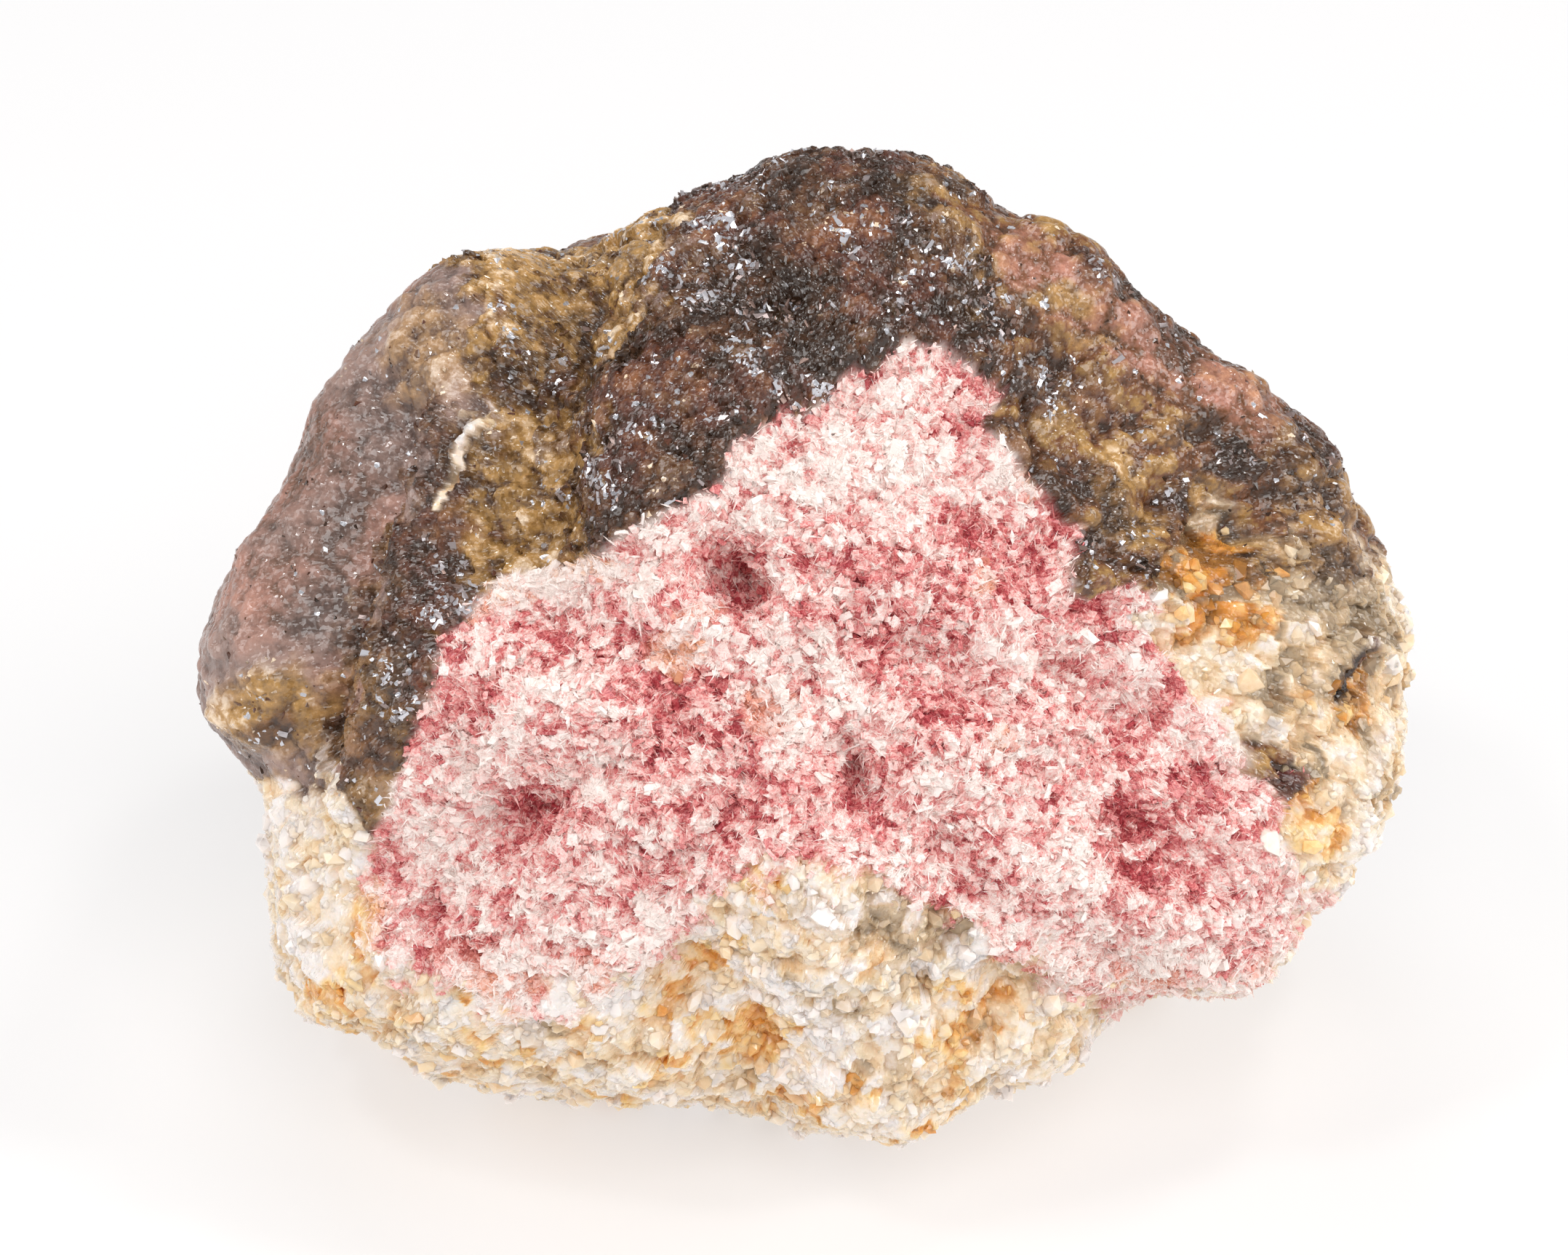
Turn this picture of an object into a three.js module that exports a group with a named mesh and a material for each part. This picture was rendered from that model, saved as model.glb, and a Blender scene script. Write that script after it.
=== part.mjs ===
// A rhodonite specimen: one natural stone with a pink, sugary broken face, a dark weathered crust over its
// back and shoulders, and pale quartz below. It is one piece of rock, so it is one mesh.
// Millimetres, +Z up. The origin is under the middle of the stone, at the height of the flat it rests on. The
// broken face looks towards -Y and up.
//
// Every point of the surface can be seen from the stone's heart, so the shape is one function: how far the
// surface lies from the heart in each direction. It is built up in four steps:
//   1. a rim, the outline of the stone seen square to its broken face, and flat facets before and behind it;
//   2. the broken face, which steps in from the crust around it;
//   3. swells, ridges and hollows, each placed by its distance across and up the face;
//   4. a lumpy roughness, and a flat foot.

import * as THREE from "three";

// ---- Driving dimensions, in millimetres ----

const FACE_LEAN = THREE.MathUtils.degToRad(35); // the broken face looks this far above the horizon
const HEART = new THREE.Vector3(0.35, 0.54, 16.0); // inside the stone, above its foot
const PANEL_STEPS = 28; // steps along an edge of each of the surface's six panels
const EDGE_SHARPNESS = 9; // how tightly the facets meet: 2 is an ellipsoid, 20 a cut stone
const MEAN_RIM = [22.0, 17.3]; // half width and half height of the ellipse that the rim wanders about

// The rim: points across and up the face from the heart, counter-clockwise from the right.
const RIM = [
  [22.1, 0.0], [21.2, 3.1], [19.3, 6.0], [15.7, 8.8], [12.1, 11.2], [8.1, 14.4], [5.8, 16.0], [2.2, 16.8],
  [-1.5, 17.2], [-4.4, 16.1], [-6.2, 15.1], [-11.2, 14.7], [-14.3, 13.7], [-17.0, 10.6], [-18.5, 6.4],
  [-20.4, 3.5], [-22.5, 0.2], [-22.6, -2.6], [-20.8, -6.0], [-20.3, -10.5], [-19.0, -13.9], [-16.6, -14.9],
  [-14.6, -16.4], [-7.8, -17.5], [-4.0, -17.8], [0.6, -18.2], [3.0, -17.8], [5.0, -17.0], [9.4, -16.5],
  [12.2, -13.7], [16.3, -12.8], [18.1, -9.9], [21.0, -7.0], [21.8, -3.7],
];

// Facets: the way each one faces, as [across, up the face, out of the face], and its distance from the heart.
const FACETS = [
  { faces: [0.05, 0.22, 0.97], distance: 14.2 }, // the broken face
  { faces: [-0.05, -0.72, 0.69], distance: 16.4 }, // the pale flank under it
  { faces: [-0.62, 0.38, 0.69], distance: 17.4 }, // the left shoulder
  { faces: [0.68, 0.34, 0.65], distance: 16.8 }, // the right shoulder
  { faces: [-0.72, -0.32, 0.62], distance: 18.4 }, // the lower left corner
  { faces: [0.62, -0.42, 0.66], distance: 18.0 }, // the lower right corner
  { faces: [0.06, 0.8, 0.6], distance: 16.0 }, // the summit
  { faces: [0.0, -0.82, -0.57], distance: 17.0 }, // the underside
  { faces: [0.1, 0.25, -0.96], distance: 15.2 }, // the back
  { faces: [-0.66, 0.2, -0.72], distance: 16.6 },
  { faces: [0.64, -0.12, -0.76], distance: 16.4 },
  { faces: [0.05, 0.8, -0.6], distance: 16.4 },
  { faces: [0.55, 0.55, -0.63], distance: 16.4 },
  { faces: [-0.5, 0.62, -0.6], distance: 16.8 },
  { faces: [-0.5, -0.3, -0.81], distance: 17.2 },
  { faces: [0.5, -0.5, -0.71], distance: 18.4 },
];

// The broken face's edge, clockwise from its apex. Places on the stone are across and up the face from the
// heart, as seen by an eye on the face's axis at SIGHT_DISTANCE from the heart.
const SIGHT_DISTANCE = 264;
const BROKEN_FACE = [
  [4.6, 11.0], [7.6, 9.4], [6.4, 8.1], [9.2, 4.9], [10.4, 4.3], [9.5, 2.0], [12.0, 2.1], [13.4, -0.1],
  [15.8, -3.5], [18.2, -6.1], [19.2, -10.3], [16.6, -13.0], [13.2, -13.9], [8.5, -12.1], [3.7, -9.9],
  [0.0, -8.9], [-3.5, -8.8], [-5.1, -11.1], [-11.0, -14.2], [-14.2, -12.8], [-17.3, -9.7], [-17.4, -8.2],
  [-15.8, -6.1], [-14.0, -1.5], [-13.0, 1.8], [-8.8, 3.0], [-5.1, 5.1], [-3.4, 6.1], [-1.0, 9.2], [0.4, 9.0],
  [2.9, 10.8],
];
const FACE_STEP = 0.8; // how far the broken face lies below the crust
const FACE_STEP_RUN = 1.3; // over how wide a band it steps down

// Ridges and swells (height above 0), valleys and hollows (below 0) on the side that the face looks to. Each
// runs from one place to another; reach is the half width over which it fades.
const FRONT_RELIEF = [
  { from: [1.5, 13.0], to: [-6.6, 5.6], reach: 4.2, height: 1.8 }, // crown ridge
  { from: [4.0, 15.0], to: [6.0, 11.0], reach: 3.6, height: 0.9 }, // crown shoulder
  { from: [-9.6, 13.6], to: [-10.4, 3.6], reach: 2.4, height: -1.9 }, // amber valley
  { from: [-13.6, 7.6], to: [-16.8, -6.0], reach: 2.0, height: 1.7 }, // left ridge
  { from: [-15.4, 8.4], to: [-18.6, -3.2], reach: 1.5, height: -1.7 }, // left groove
  { from: [-19.0, 7.0], to: [-20.6, 0.5], reach: 3.2, height: 0.9 }, // left bulge
  { from: [-19.6, -5.4], to: [-19.4, -6.6], reach: 1.8, height: -0.8 }, // left undercut
  { from: [8.6, 9.6], to: [14.4, 4.4], reach: 2.0, height: -0.7 }, // right terrace
  { from: [9.0, 13.6], to: [18.4, 7.0], reach: 1.8, height: 0.7 }, // right rib
  { from: [11.3, 6.0], to: [11.4, 5.8], reach: 1.0, height: 0.7 }, // pebble
  { from: [14.6, 2.6], to: [17.0, 1.2], reach: 1.7, height: 0.8 }, // amber knot
  { from: [16.2, 4.6], to: [16.4, 4.4], reach: 1.0, height: -0.9 }, // right dimple
  { from: [16.8, -4.4], to: [17.2, -4.8], reach: 1.1, height: -0.9 }, // right hollow
  { from: [3.0, 6.4], to: [4.6, 1.6], reach: 3.2, height: 0.7 }, // face upper swell
  { from: [-13.4, -1.8], to: [-9.6, -2.6], reach: 2.6, height: 0.9 }, // face left swell
  { from: [-5.6, 1.2], to: [-0.4, 0.8], reach: 1.1, height: 0.7 }, // face brow
  { from: [-3.5, 2.8], to: [-2.6, 1.8], reach: 1.1, height: -1.9 }, // dark pit
  { from: [4.6, -0.6], to: [7.4, -2.4], reach: 1.4, height: -1.3 }, // middle hollow
  { from: [5.4, -3.4], to: [9.4, -3.0], reach: 1.3, height: 0.8 }, // middle brow
  { from: [10.6, -1.6], to: [12.8, -3.2], reach: 1.4, height: -1.2 }, // right face hollow
  { from: [1.4, -4.6], to: [2.2, -6.2], reach: 0.9, height: -1.2 }, // centre pit
  { from: [-12.6, -7.6], to: [-8.6, -5.2], reach: 1.4, height: -1.2 }, // crevice
  { from: [-11.6, -9.6], to: [-7.4, -6.6], reach: 1.1, height: 0.5 }, // crevice lip
  { from: [-14.8, -10.4], to: [-14.2, -10.4], reach: 0.8, height: -1.1 }, // low pit
  { from: [-1.6, -3.4], to: [-3.8, -8.4], reach: 1.8, height: -0.6 }, // face trough
  { from: [-12.6, -11.8], to: [-8.0, -11.4], reach: 2.2, height: 0.8 }, // lower left swell
  { from: [10.6, -10.2], to: [16.4, -9.6], reach: 3.0, height: 1.1 }, // lower right swell
  { from: [12.2, -8.0], to: [14.6, -8.4], reach: 1.2, height: -1.2 }, // lower right hollow
  { from: [1.0, -11.2], to: [3.2, -16.8], reach: 3.2, height: 1.2 }, // prow
  { from: [-4.6, -13.0], to: [-2.4, -16.2], reach: 2.0, height: -1.0 }, // flank dent
  { from: [-9.0, -15.0], to: [-4.4, -15.4], reach: 1.3, height: 0.9 }, // flank shelf
  { from: [7.8, -14.0], to: [11.0, -13.6], reach: 1.8, height: -0.9 }, // right flank dent
];

// The same for the side that the face looks away from.
const BACK_RELIEF = [
  { from: [-4.0, 12.0], to: [5.0, -4.0], reach: 4.0, height: 1.3 }, // keel
  { from: [-12.0, 6.0], to: [-6.0, -8.0], reach: 2.8, height: -1.5 }, // valley
  { from: [9.0, 8.0], to: [14.0, -1.0], reach: 3.0, height: -1.6 }, // scar
  { from: [15.6, -6.0], to: [16.4, -7.4], reach: 2.6, height: 1.4 }, // knob
  { from: [-16.0, -4.0], to: [-8.0, 1.0], reach: 1.6, height: 1.0 }, // shelf
  { from: [2.4, 5.0], to: [3.4, 4.2], reach: 1.4, height: -1.2 }, // pit
];

// Lumpiness: [wavelength, height] from broad lumps to small, and its strength on crust and on broken rock.
const LUMPS = [[9.0, 0.6], [4.6, 0.45], [2.5, 0.28]];
const CRUST_ROUGHNESS = 0.8;
const BROKEN_ROUGHNESS = 1.1;

// ---- Directions: across the face, up the face, and out of it ----

const ACROSS = new THREE.Vector3(1, 0, 0);
const UP_FACE = new THREE.Vector3(0, Math.sin(FACE_LEAN), Math.cos(FACE_LEAN));
const OUT = new THREE.Vector3(0, -Math.cos(FACE_LEAN), Math.sin(FACE_LEAN));

// ---- Small helpers ----

const smoothStep = (low, high, x) => THREE.MathUtils.smoothstep(x, low, high);

// Distance from a point to the stretch between two others, all in the plane of the face.
function distanceToStretch(point, from, to) {
  const along = [to[0] - from[0], to[1] - from[1]];
  const offset = [point[0] - from[0], point[1] - from[1]];
  const lengthSquared = along[0] ** 2 + along[1] ** 2;
  const share = THREE.MathUtils.clamp((offset[0] * along[0] + offset[1] * along[1]) / lengthSquared, 0, 1);
  return Math.hypot(offset[0] - share * along[0], offset[1] - share * along[1]);
}

// Distance from a point to an outline: positive inside, negative outside.
function depthInside(point, outline) {
  let nearest = Infinity;
  let inside = false;
  outline.forEach((to, k) => {
    const from = outline[(k + outline.length - 1) % outline.length];
    nearest = Math.min(nearest, distanceToStretch(point, from, to));
    const straddles = from[1] > point[1] !== to[1] > point[1];
    const crossing = from[0] + ((point[1] - from[1]) * (to[0] - from[0])) / (to[1] - from[1]);
    if (straddles && point[0] < crossing) inside = !inside;
  });
  return inside ? nearest : -nearest;
}

// A repeatable number from -1 to 1 for each point of a unit lattice.
function latticeValue(i, j, k) {
  let h = Math.imul(i, 374761393) ^ Math.imul(j, 668265263) ^ Math.imul(k, 1274126177);
  h = Math.imul(h ^ (h >>> 13), 1103515245);
  return ((h ^ (h >>> 16)) >>> 0) / 2147483648 - 1;
}

// Smooth lumps from -1 to 1: lattice values blended between the eight corners around the point.
function lumpiness(point, wavelength) {
  const scaled = point.clone().divideScalar(wavelength);
  const corner = scaled.clone().floor();
  const t = scaled.sub(corner);
  const [fx, fy, fz] = [t.x, t.y, t.z].map((s) => s * s * (3 - 2 * s));
  let sum = 0;
  for (const [dx, wx] of [[0, 1 - fx], [1, fx]])
    for (const [dy, wy] of [[0, 1 - fy], [1, fy]])
      for (const [dz, wz] of [[0, 1 - fz], [1, fz]])
        sum += wx * wy * wz * latticeValue(corner.x + dx, corner.y + dy, corner.z + dz);
  return sum;
}

// ---- Step 1: rim and facets ----

// The rim as a smooth closed curve, sampled finely: the bearing and distance of each sample from the heart.
const RIM_SAMPLES = new THREE.CatmullRomCurve3(RIM.map(([x, y]) => new THREE.Vector3(x, y, 0)), true)
  .getPoints(720)
  .map((p) => ({ bearing: Math.atan2(p.y, p.x), distance: Math.hypot(p.x, p.y) }));

const rimRadius = (across, up) => {
  const bearing = Math.atan2(up, across);
  const gap = (sample) => Math.abs(Math.sin((sample.bearing - bearing) / 2));
  return RIM_SAMPLES.reduce((nearest, sample) => (gap(sample) < gap(nearest) ? sample : nearest)).distance;
};

// How far the rounded, faceted block reaches in a direction. Each facet and the rim say how close they come,
// and a high power mean of those lets the nearest one win with a soft edge.
function blockRadius([across, up, out]) {
  const fromAxis = Math.hypot(across, up);
  const towardsRim = 1 - (1 - Math.abs(out)) ** 3; // facets fade out at the rim, which is left to the outline
  const terms = FACETS.map(({ faces, distance }) => {
    const length = Math.hypot(...faces);
    return (towardsRim * Math.max(0, faces[0] * across + faces[1] * up + faces[2] * out)) / length / distance;
  });
  if (fromAxis > 1e-6) {
    const even = fromAxis / Math.hypot(across / MEAN_RIM[0], up / MEAN_RIM[1]);
    const rim = THREE.MathUtils.lerp(even, rimRadius(across, up), fromAxis ** 3);
    terms.push(fromAxis / rim);
  }
  return terms.reduce((sum, term) => sum + term ** EDGE_SHARPNESS, 0) ** (-1 / EDGE_SHARPNESS);
}

// ---- Steps 2 and 3: the broken face and the relief ----

const reliefAt = (point, relief) =>
  relief.reduce((sum, { from, to, reach, height }) => {
    const share = distanceToStretch(point, from, to) / reach;
    return sum + height * Math.exp(-share * share);
  }, 0);

// ---- Step 4: the whole surface ----

function surfacePoint(direction) {
  const parts = [direction.dot(ACROSS), direction.dot(UP_FACE), direction.dot(OUT)];
  const block = blockRadius(parts);
  const depth = parts[2] * block;
  const spread = SIGHT_DISTANCE / (SIGHT_DISTANCE - depth);
  const place = [parts[0] * block * spread, parts[1] * block * spread];
  const front = smoothStep(0, 6, depth);
  const back = smoothStep(0, 6, -depth);
  const broken = front * smoothStep(-0.3, FACE_STEP_RUN, depthInside(place, BROKEN_FACE));
  const roughness = THREE.MathUtils.lerp(CRUST_ROUGHNESS, BROKEN_ROUGHNESS, broken);
  const onBlock = direction.clone().multiplyScalar(block);
  const lumps = LUMPS.reduce((sum, [wavelength, height]) => sum + height * lumpiness(onBlock, wavelength), 0);
  const radius =
    block -
    FACE_STEP * broken +
    front * reliefAt(place, FRONT_RELIEF) +
    back * reliefAt(place, BACK_RELIEF) +
    roughness * lumps;
  const toFoot = direction.z < 0 ? HEART.z / -direction.z : Infinity;
  return direction.clone().multiplyScalar(Math.min(radius, toFoot)).add(HEART);
}

// Six square panels of equal angles, as on a cube blown up to a ball, so that the steps are nearly even. Each
// has the way it faces, its side and its top; the first faces straight out of the broken face.
const [LEFT, DOWN_FACE, IN] = [ACROSS, UP_FACE, OUT].map((axis) => axis.clone().negate());
const PANELS = [
  [OUT, ACROSS, UP_FACE],
  [IN, UP_FACE, ACROSS],
  [ACROSS, UP_FACE, OUT],
  [LEFT, OUT, UP_FACE],
  [UP_FACE, OUT, ACROSS],
  [DOWN_FACE, ACROSS, OUT],
];

function stoneGeometry() {
  const positions = [];
  const slope = (step) => Math.tan((step / PANEL_STEPS - 0.5) * (Math.PI / 2));
  for (const [normal, side, top] of PANELS) {
    const at = (i, j) =>
      surfacePoint(
        normal.clone().addScaledVector(side, slope(i)).addScaledVector(top, slope(j)).normalize(),
      );
    for (let i = 0; i < PANEL_STEPS; i++)
      for (let j = 0; j < PANEL_STEPS; j++) {
        const [a, b, c, d] = [at(i, j), at(i + 1, j), at(i + 1, j + 1), at(i, j + 1)];
        const shortAC = a.distanceTo(c) < b.distanceTo(d);
        const triangles = shortAC ? [a, b, c, a, c, d] : [a, b, d, b, c, d];
        triangles.forEach((p) => positions.push(p.x, p.y, p.z));
      }
  }
  const geometry = new THREE.BufferGeometry();
  geometry.setAttribute("position", new THREE.Float32BufferAttribute(positions, 3));
  geometry.computeVertexNormals();
  return geometry;
}

const stone = new THREE.Mesh(
  stoneGeometry(),
  new THREE.MeshStandardMaterial({ color: 0xc98a8c, roughness: 0.7, metalness: 0 }),
);
stone.name = "rhodonite_stone";

const specimen = new THREE.Group();
specimen.add(stone);
export default specimen;
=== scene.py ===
"""The looks of a rhodonite hand specimen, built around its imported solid.

The stone is a closed skin worked out from the solid, with finer relief of its own, and layers of grains set
into it: flakes, splinters and threads over the rose rock, glossy grains and bright flakes over the crust, and
pebbles over the quartz. Lengths are in millimetres until a mesh is made.
"""

import math
from itertools import combinations, product

import bpy
import numpy as np
from bpy.props import FloatProperty, FloatVectorProperty, IntProperty, PointerProperty
from bpy.types import Operator, Panel, PropertyGroup
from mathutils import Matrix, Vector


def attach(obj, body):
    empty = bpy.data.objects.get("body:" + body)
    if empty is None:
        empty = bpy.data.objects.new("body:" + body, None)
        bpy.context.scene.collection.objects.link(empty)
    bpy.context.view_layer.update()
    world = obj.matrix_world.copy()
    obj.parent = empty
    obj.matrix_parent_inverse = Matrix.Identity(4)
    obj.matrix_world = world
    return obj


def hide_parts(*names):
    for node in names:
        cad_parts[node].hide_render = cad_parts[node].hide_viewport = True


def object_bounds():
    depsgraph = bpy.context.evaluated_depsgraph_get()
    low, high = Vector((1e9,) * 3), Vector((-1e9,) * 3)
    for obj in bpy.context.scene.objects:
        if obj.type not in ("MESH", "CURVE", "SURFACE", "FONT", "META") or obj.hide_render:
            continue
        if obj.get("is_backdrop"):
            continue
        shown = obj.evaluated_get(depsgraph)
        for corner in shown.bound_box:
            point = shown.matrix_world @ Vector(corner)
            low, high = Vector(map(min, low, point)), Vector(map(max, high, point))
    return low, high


bl_info = {
    "name": "Rhodonite specimen",
    "version": (1, 0, 0),
    "blender": (4, 5, 0),
    "location": "3D View > Sidebar > Rhodonite",
    "description": "A rough stone with a pink sugary broken face, a dark crust and pale quartz",
    "category": "Add Mesh",
}

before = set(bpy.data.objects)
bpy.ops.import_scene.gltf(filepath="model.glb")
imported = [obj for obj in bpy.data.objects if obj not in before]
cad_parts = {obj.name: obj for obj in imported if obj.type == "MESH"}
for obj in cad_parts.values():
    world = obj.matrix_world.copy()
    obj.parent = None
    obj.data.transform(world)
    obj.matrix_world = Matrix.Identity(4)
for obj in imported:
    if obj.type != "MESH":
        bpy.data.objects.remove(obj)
CAD_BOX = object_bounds()
NODE = "rhodonite_stone"

# ---- Places: across the broken face, up it, and out of it, from the stone's heart ----

MM = 0.001
FACE_LEAN = math.radians(35)
HEART = np.array([0.35, 0.54, 16.0])
ACROSS = np.array([1.0, 0.0, 0.0])
UP_FACE = np.array([0.0, math.sin(FACE_LEAN), math.cos(FACE_LEAN)])
OUT = np.array([0.0, -math.cos(FACE_LEAN), math.sin(FACE_LEAN)])
SIGHT_DISTANCE = 264.4  # an eye this far out in front of the heart sees the outlines below as they are given

# Outlines on the stone, across and up the face, as that eye sees them.
ROSE_FACE = [
    (4.6, 11), (5.7, 10.4), (7.6, 9.4), (6.4, 8.1), (7.9, 6.3), (9.2, 4.9), (10.4, 4.3), (9.5, 2.6),
    (9.8, 1.6), (12, 2.1), (13.5, 1), (11.6, 0.8), (13.4, -0.1), (14, -1.8), (15.8, -3.5), (16.3, -4.7),
    (18.2, -6.1), (18, -8.2), (19.2, -10.3), (17.5, -12), (16.6, -13), (14, -13.2), (13.2, -13.9),
    (10.6, -13.3), (8.5, -12.1), (6.5, -11.6), (3.7, -9.9), (2, -9), (-2.3, -8.9), (-3.5, -8.8),
    (-5.1, -11.1), (-7.3, -12.5), (-9.6, -13.5), (-11, -14.2), (-12.1, -13.1), (-14.2, -12.8), (-16.2, -11.1),
    (-17.3, -9.7), (-17.4, -8.2), (-16.7, -7.3), (-15.8, -6.1), (-15.4, -4.3), (-14, -1.5), (-13.9, 0.2),
    (-13, 1.3), (-13, 1.8), (-11.8, 2.3), (-8.8, 3), (-7.3, 3.5), (-6.6, 4), (-5.1, 5.1), (-3.4, 6.1),
    (-2.9, 7.3), (-1.7, 8.2), (-0.9, 9), (-0.6, 8.4), (0.4, 9), (1.8, 10), (2.9, 10.8),
]
CROWN = [
    (-5.5, 22), (-5, 16.3), (-6, 14.4), (-6.6, 12.5), (-7.3, 10), (-7.9, 7.6), (-8.6, 6.1), (-8.8, 2.4),
    (-3, 1), (5, 6), (6.6, 8), (6.3, 10.4), (6.6, 13.6), (5.4, 16.5), (5.6, 22),
]
VALLEY = [
    (-13.4, 22), (-13.2, 13.2), (-12.9, 10.9), (-11.8, 8.8), (-11.8, 7.6), (-12.3, 6.4), (-12.9, 4.9),
    (-12.9, 1), (-8, 1), (-8.6, 6.1), (-7.3, 10), (-6, 14.4), (-5, 16.3), (-5.5, 22),
]
LEFT_RIDGE = [
    (-14.4, 8.6), (-12.3, 7.6), (-12.9, 5.2), (-12.9, 2.2), (-13.5, 0.4), (-13.6, -1.6), (-14.7, -3.4),
    (-15.6, -5.8), (-16.2, -7), (-17, -7.3), (-17.7, -5.8), (-18, -4.3), (-17.4, -1), (-16.8, 1.3),
    (-16.5, 3.4), (-15.3, 5.2),
]
LEFT_BULGE = [
    (-13.4, 22), (-13.2, 13.2), (-12.9, 10.9), (-12.6, 8.6), (-14.8, 6.4), (-15.9, 4), (-16.8, 1.6),
    (-17.7, -1), (-18.3, -3.4), (-18.9, -5), (-20.5, -5), (-27, -5), (-27, 22),
]
RIGHT_FLANK = [
    (5.6, 22), (5.4, 16.5), (6.6, 13.6), (6, 10.4), (6, 8), (7.4, 6.2), (9, 4.6), (8.6, 1), (12.2, 0.8),
    (12.8, 2.6), (13.6, 4.4), (15.6, 4.8), (17.4, 4.2), (18.8, 3.4), (20.2, 3.6), (22, 3.6), (28, 3),
    (28, 22),
]

# Patches with ragged edges: across, up, half width, half height and strength of each.
BLACK_PATCHES = [
    (8.6, 9.2, 1, 1.5, 1), (9.9, 3, 0.6, 1.2, 1), (9.2, 5.6, 0.7, 1.2, 0.8), (12.4, 2.7, 0.9, 0.4, 1),
    (16.2, 6.7, 1.2, 0.8, 1), (13.6, 5.5, 0.6, 1, 0.8), (16.4, 4.1, 0.8, 0.5, 0.9), (20.8, -1.3, 0.45, 1, 1),
    (17.8, -5.1, 0.5, 0.5, 0.6), (-18.1, -2.9, 0.4, 1, 1), (-7.6, 9.6, 1, 0.8, 0.9),
    (-9.6, 9.4, 0.8, 0.6, 0.6), (-8.4, 12.2, 1.2, 0.6, 0.5), (18.6, 7.4, 1, 0.6, 0.5),
    (6.6, 11.2, 0.8, 1.4, 0.9), (-20.3, -3.2, 0.9, 0.8, 0.5), (-13.8, 3.4, 0.7, 1.2, 0.7),
    (-6.4, 6.4, 1.6, 0.7, 0.8), (11, 8.6, 0.8, 0.8, 0.5), (19.8, 2, 0.4, 0.8, 0.4),
]
OCHRE_PATCHES = [
    (11.4, 6.2, 1.2, 1, 1), (11.8, 4.4, 1.4, 0.9, 1), (14.8, 5.3, 0.8, 0.8, 0.9), (9.2, 13, 1.5, 0.6, 0.9),
    (10.8, 11.6, 1.1, 0.5, 0.8), (18.4, 3.1, 2, 0.9, 0.8), (19.6, 5.4, 1.6, 1.8, 0.7),
    (13.4, 8, 1.2, 0.5, 0.5), (6.2, 14.6, 0.5, 0.7, 0.9), (-20.4, -2.6, 2.2, 1.5, 1),
    (-4.4, 16.2, 1.8, 0.6, 0.5), (2, 14.4, 0.9, 0.5, 0.6), (-14.8, 11, 1.6, 2.2, 0.6),
    (-17.2, -5.6, 0.6, 0.8, 0.5),
]
HONEY_PATCHES = [
    (15.6, 2.6, 2, 1.3, 0.75), (15.6, 0.6, 2, 1, 0.8), (20.8, -2, 1, 1.4, 0.8), (-2.7, -14.9, 2.1, 1.1, 1),
    (4.9, -15, 1.5, 0.9, 0.8), (5.4, -13.4, 0.6, 0.4, 1), (7.6, -14.4, 1.6, 0.6, 0.7),
    (-3.4, -11.6, 1, 0.55, 1), (-2.4, -9.5, 1, 0.5, 0.7), (0.8, -9.2, 0.7, 0.5, 0.7),
    (-8.8, -14.8, 0.9, 0.8, 0.7), (-6, -14.5, 1.2, 0.7, 0.7), (-16.8, -10.8, 0.8, 1.4, 0.9),
    (-17.9, -13.2, 1.5, 0.7, 0.9), (-12.6, -14.3, 1.6, 0.5, 0.6), (19.4, -7.2, 0.9, 1.1, 0.7),
    (18.5, -5.9, 0.6, 0.6, 0.7), (-8.8, 2.7, 1.8, 0.6, 0.85), (-11.6, 1.9, 1.2, 0.5, 0.7),
    (-5.2, -0.6, 1.2, 0.7, 0.55), (-1.6, -2.6, 1, 0.8, 0.35), (7.2, -4.1, 0.8, 0.6, 0.5),
    (6.1, 2.2, 0.5, 0.9, 0.5), (8.2, 6, 0.6, 1, 0.5), (-4.7, 0.9, 1, 0.5, 0.35), (18.4, -2, 0.8, 0.8, 0.5),
    (-12.9, 1.6, 1, 0.4, 0.4),
]
SMOKE_PATCHES = [
    (0, -10.4, 0.9, 0.7, 0.9), (2.6, -10.8, 1.4, 1, 0.9), (3.6, -12.6, 0.9, 0.6, 0.9),
    (-0.8, -12.8, 0.8, 0.6, 0.8), (5, -11.6, 2.4, 0.6, 0.7), (9.2, -12.7, 2, 0.5, 0.5),
    (1.2, -14, 1, 0.5, 0.5), (-10.6, -15.2, 1.2, 0.6, 0.6), (17.8, -5.2, 0.7, 0.7, 0.8),
    (17, -3.9, 0.8, 0.6, 0.7), (20.6, -5.6, 1.6, 1.4, 0.5), (3, -16.6, 1.4, 0.8, 0.4),
    (15.2, 2.6, 2.4, 1.6, 0.9), (18.4, 1.6, 1.6, 1.8, 0.8), (20.8, 0.4, 1.6, 2.8, 0.8),
    (18.2, -1.8, 1.6, 1.4, 0.65), (20.6, -4.2, 1.6, 1.6, 0.6), (-4.8, -13.2, 1.2, 0.5, 0.5),
]
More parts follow.
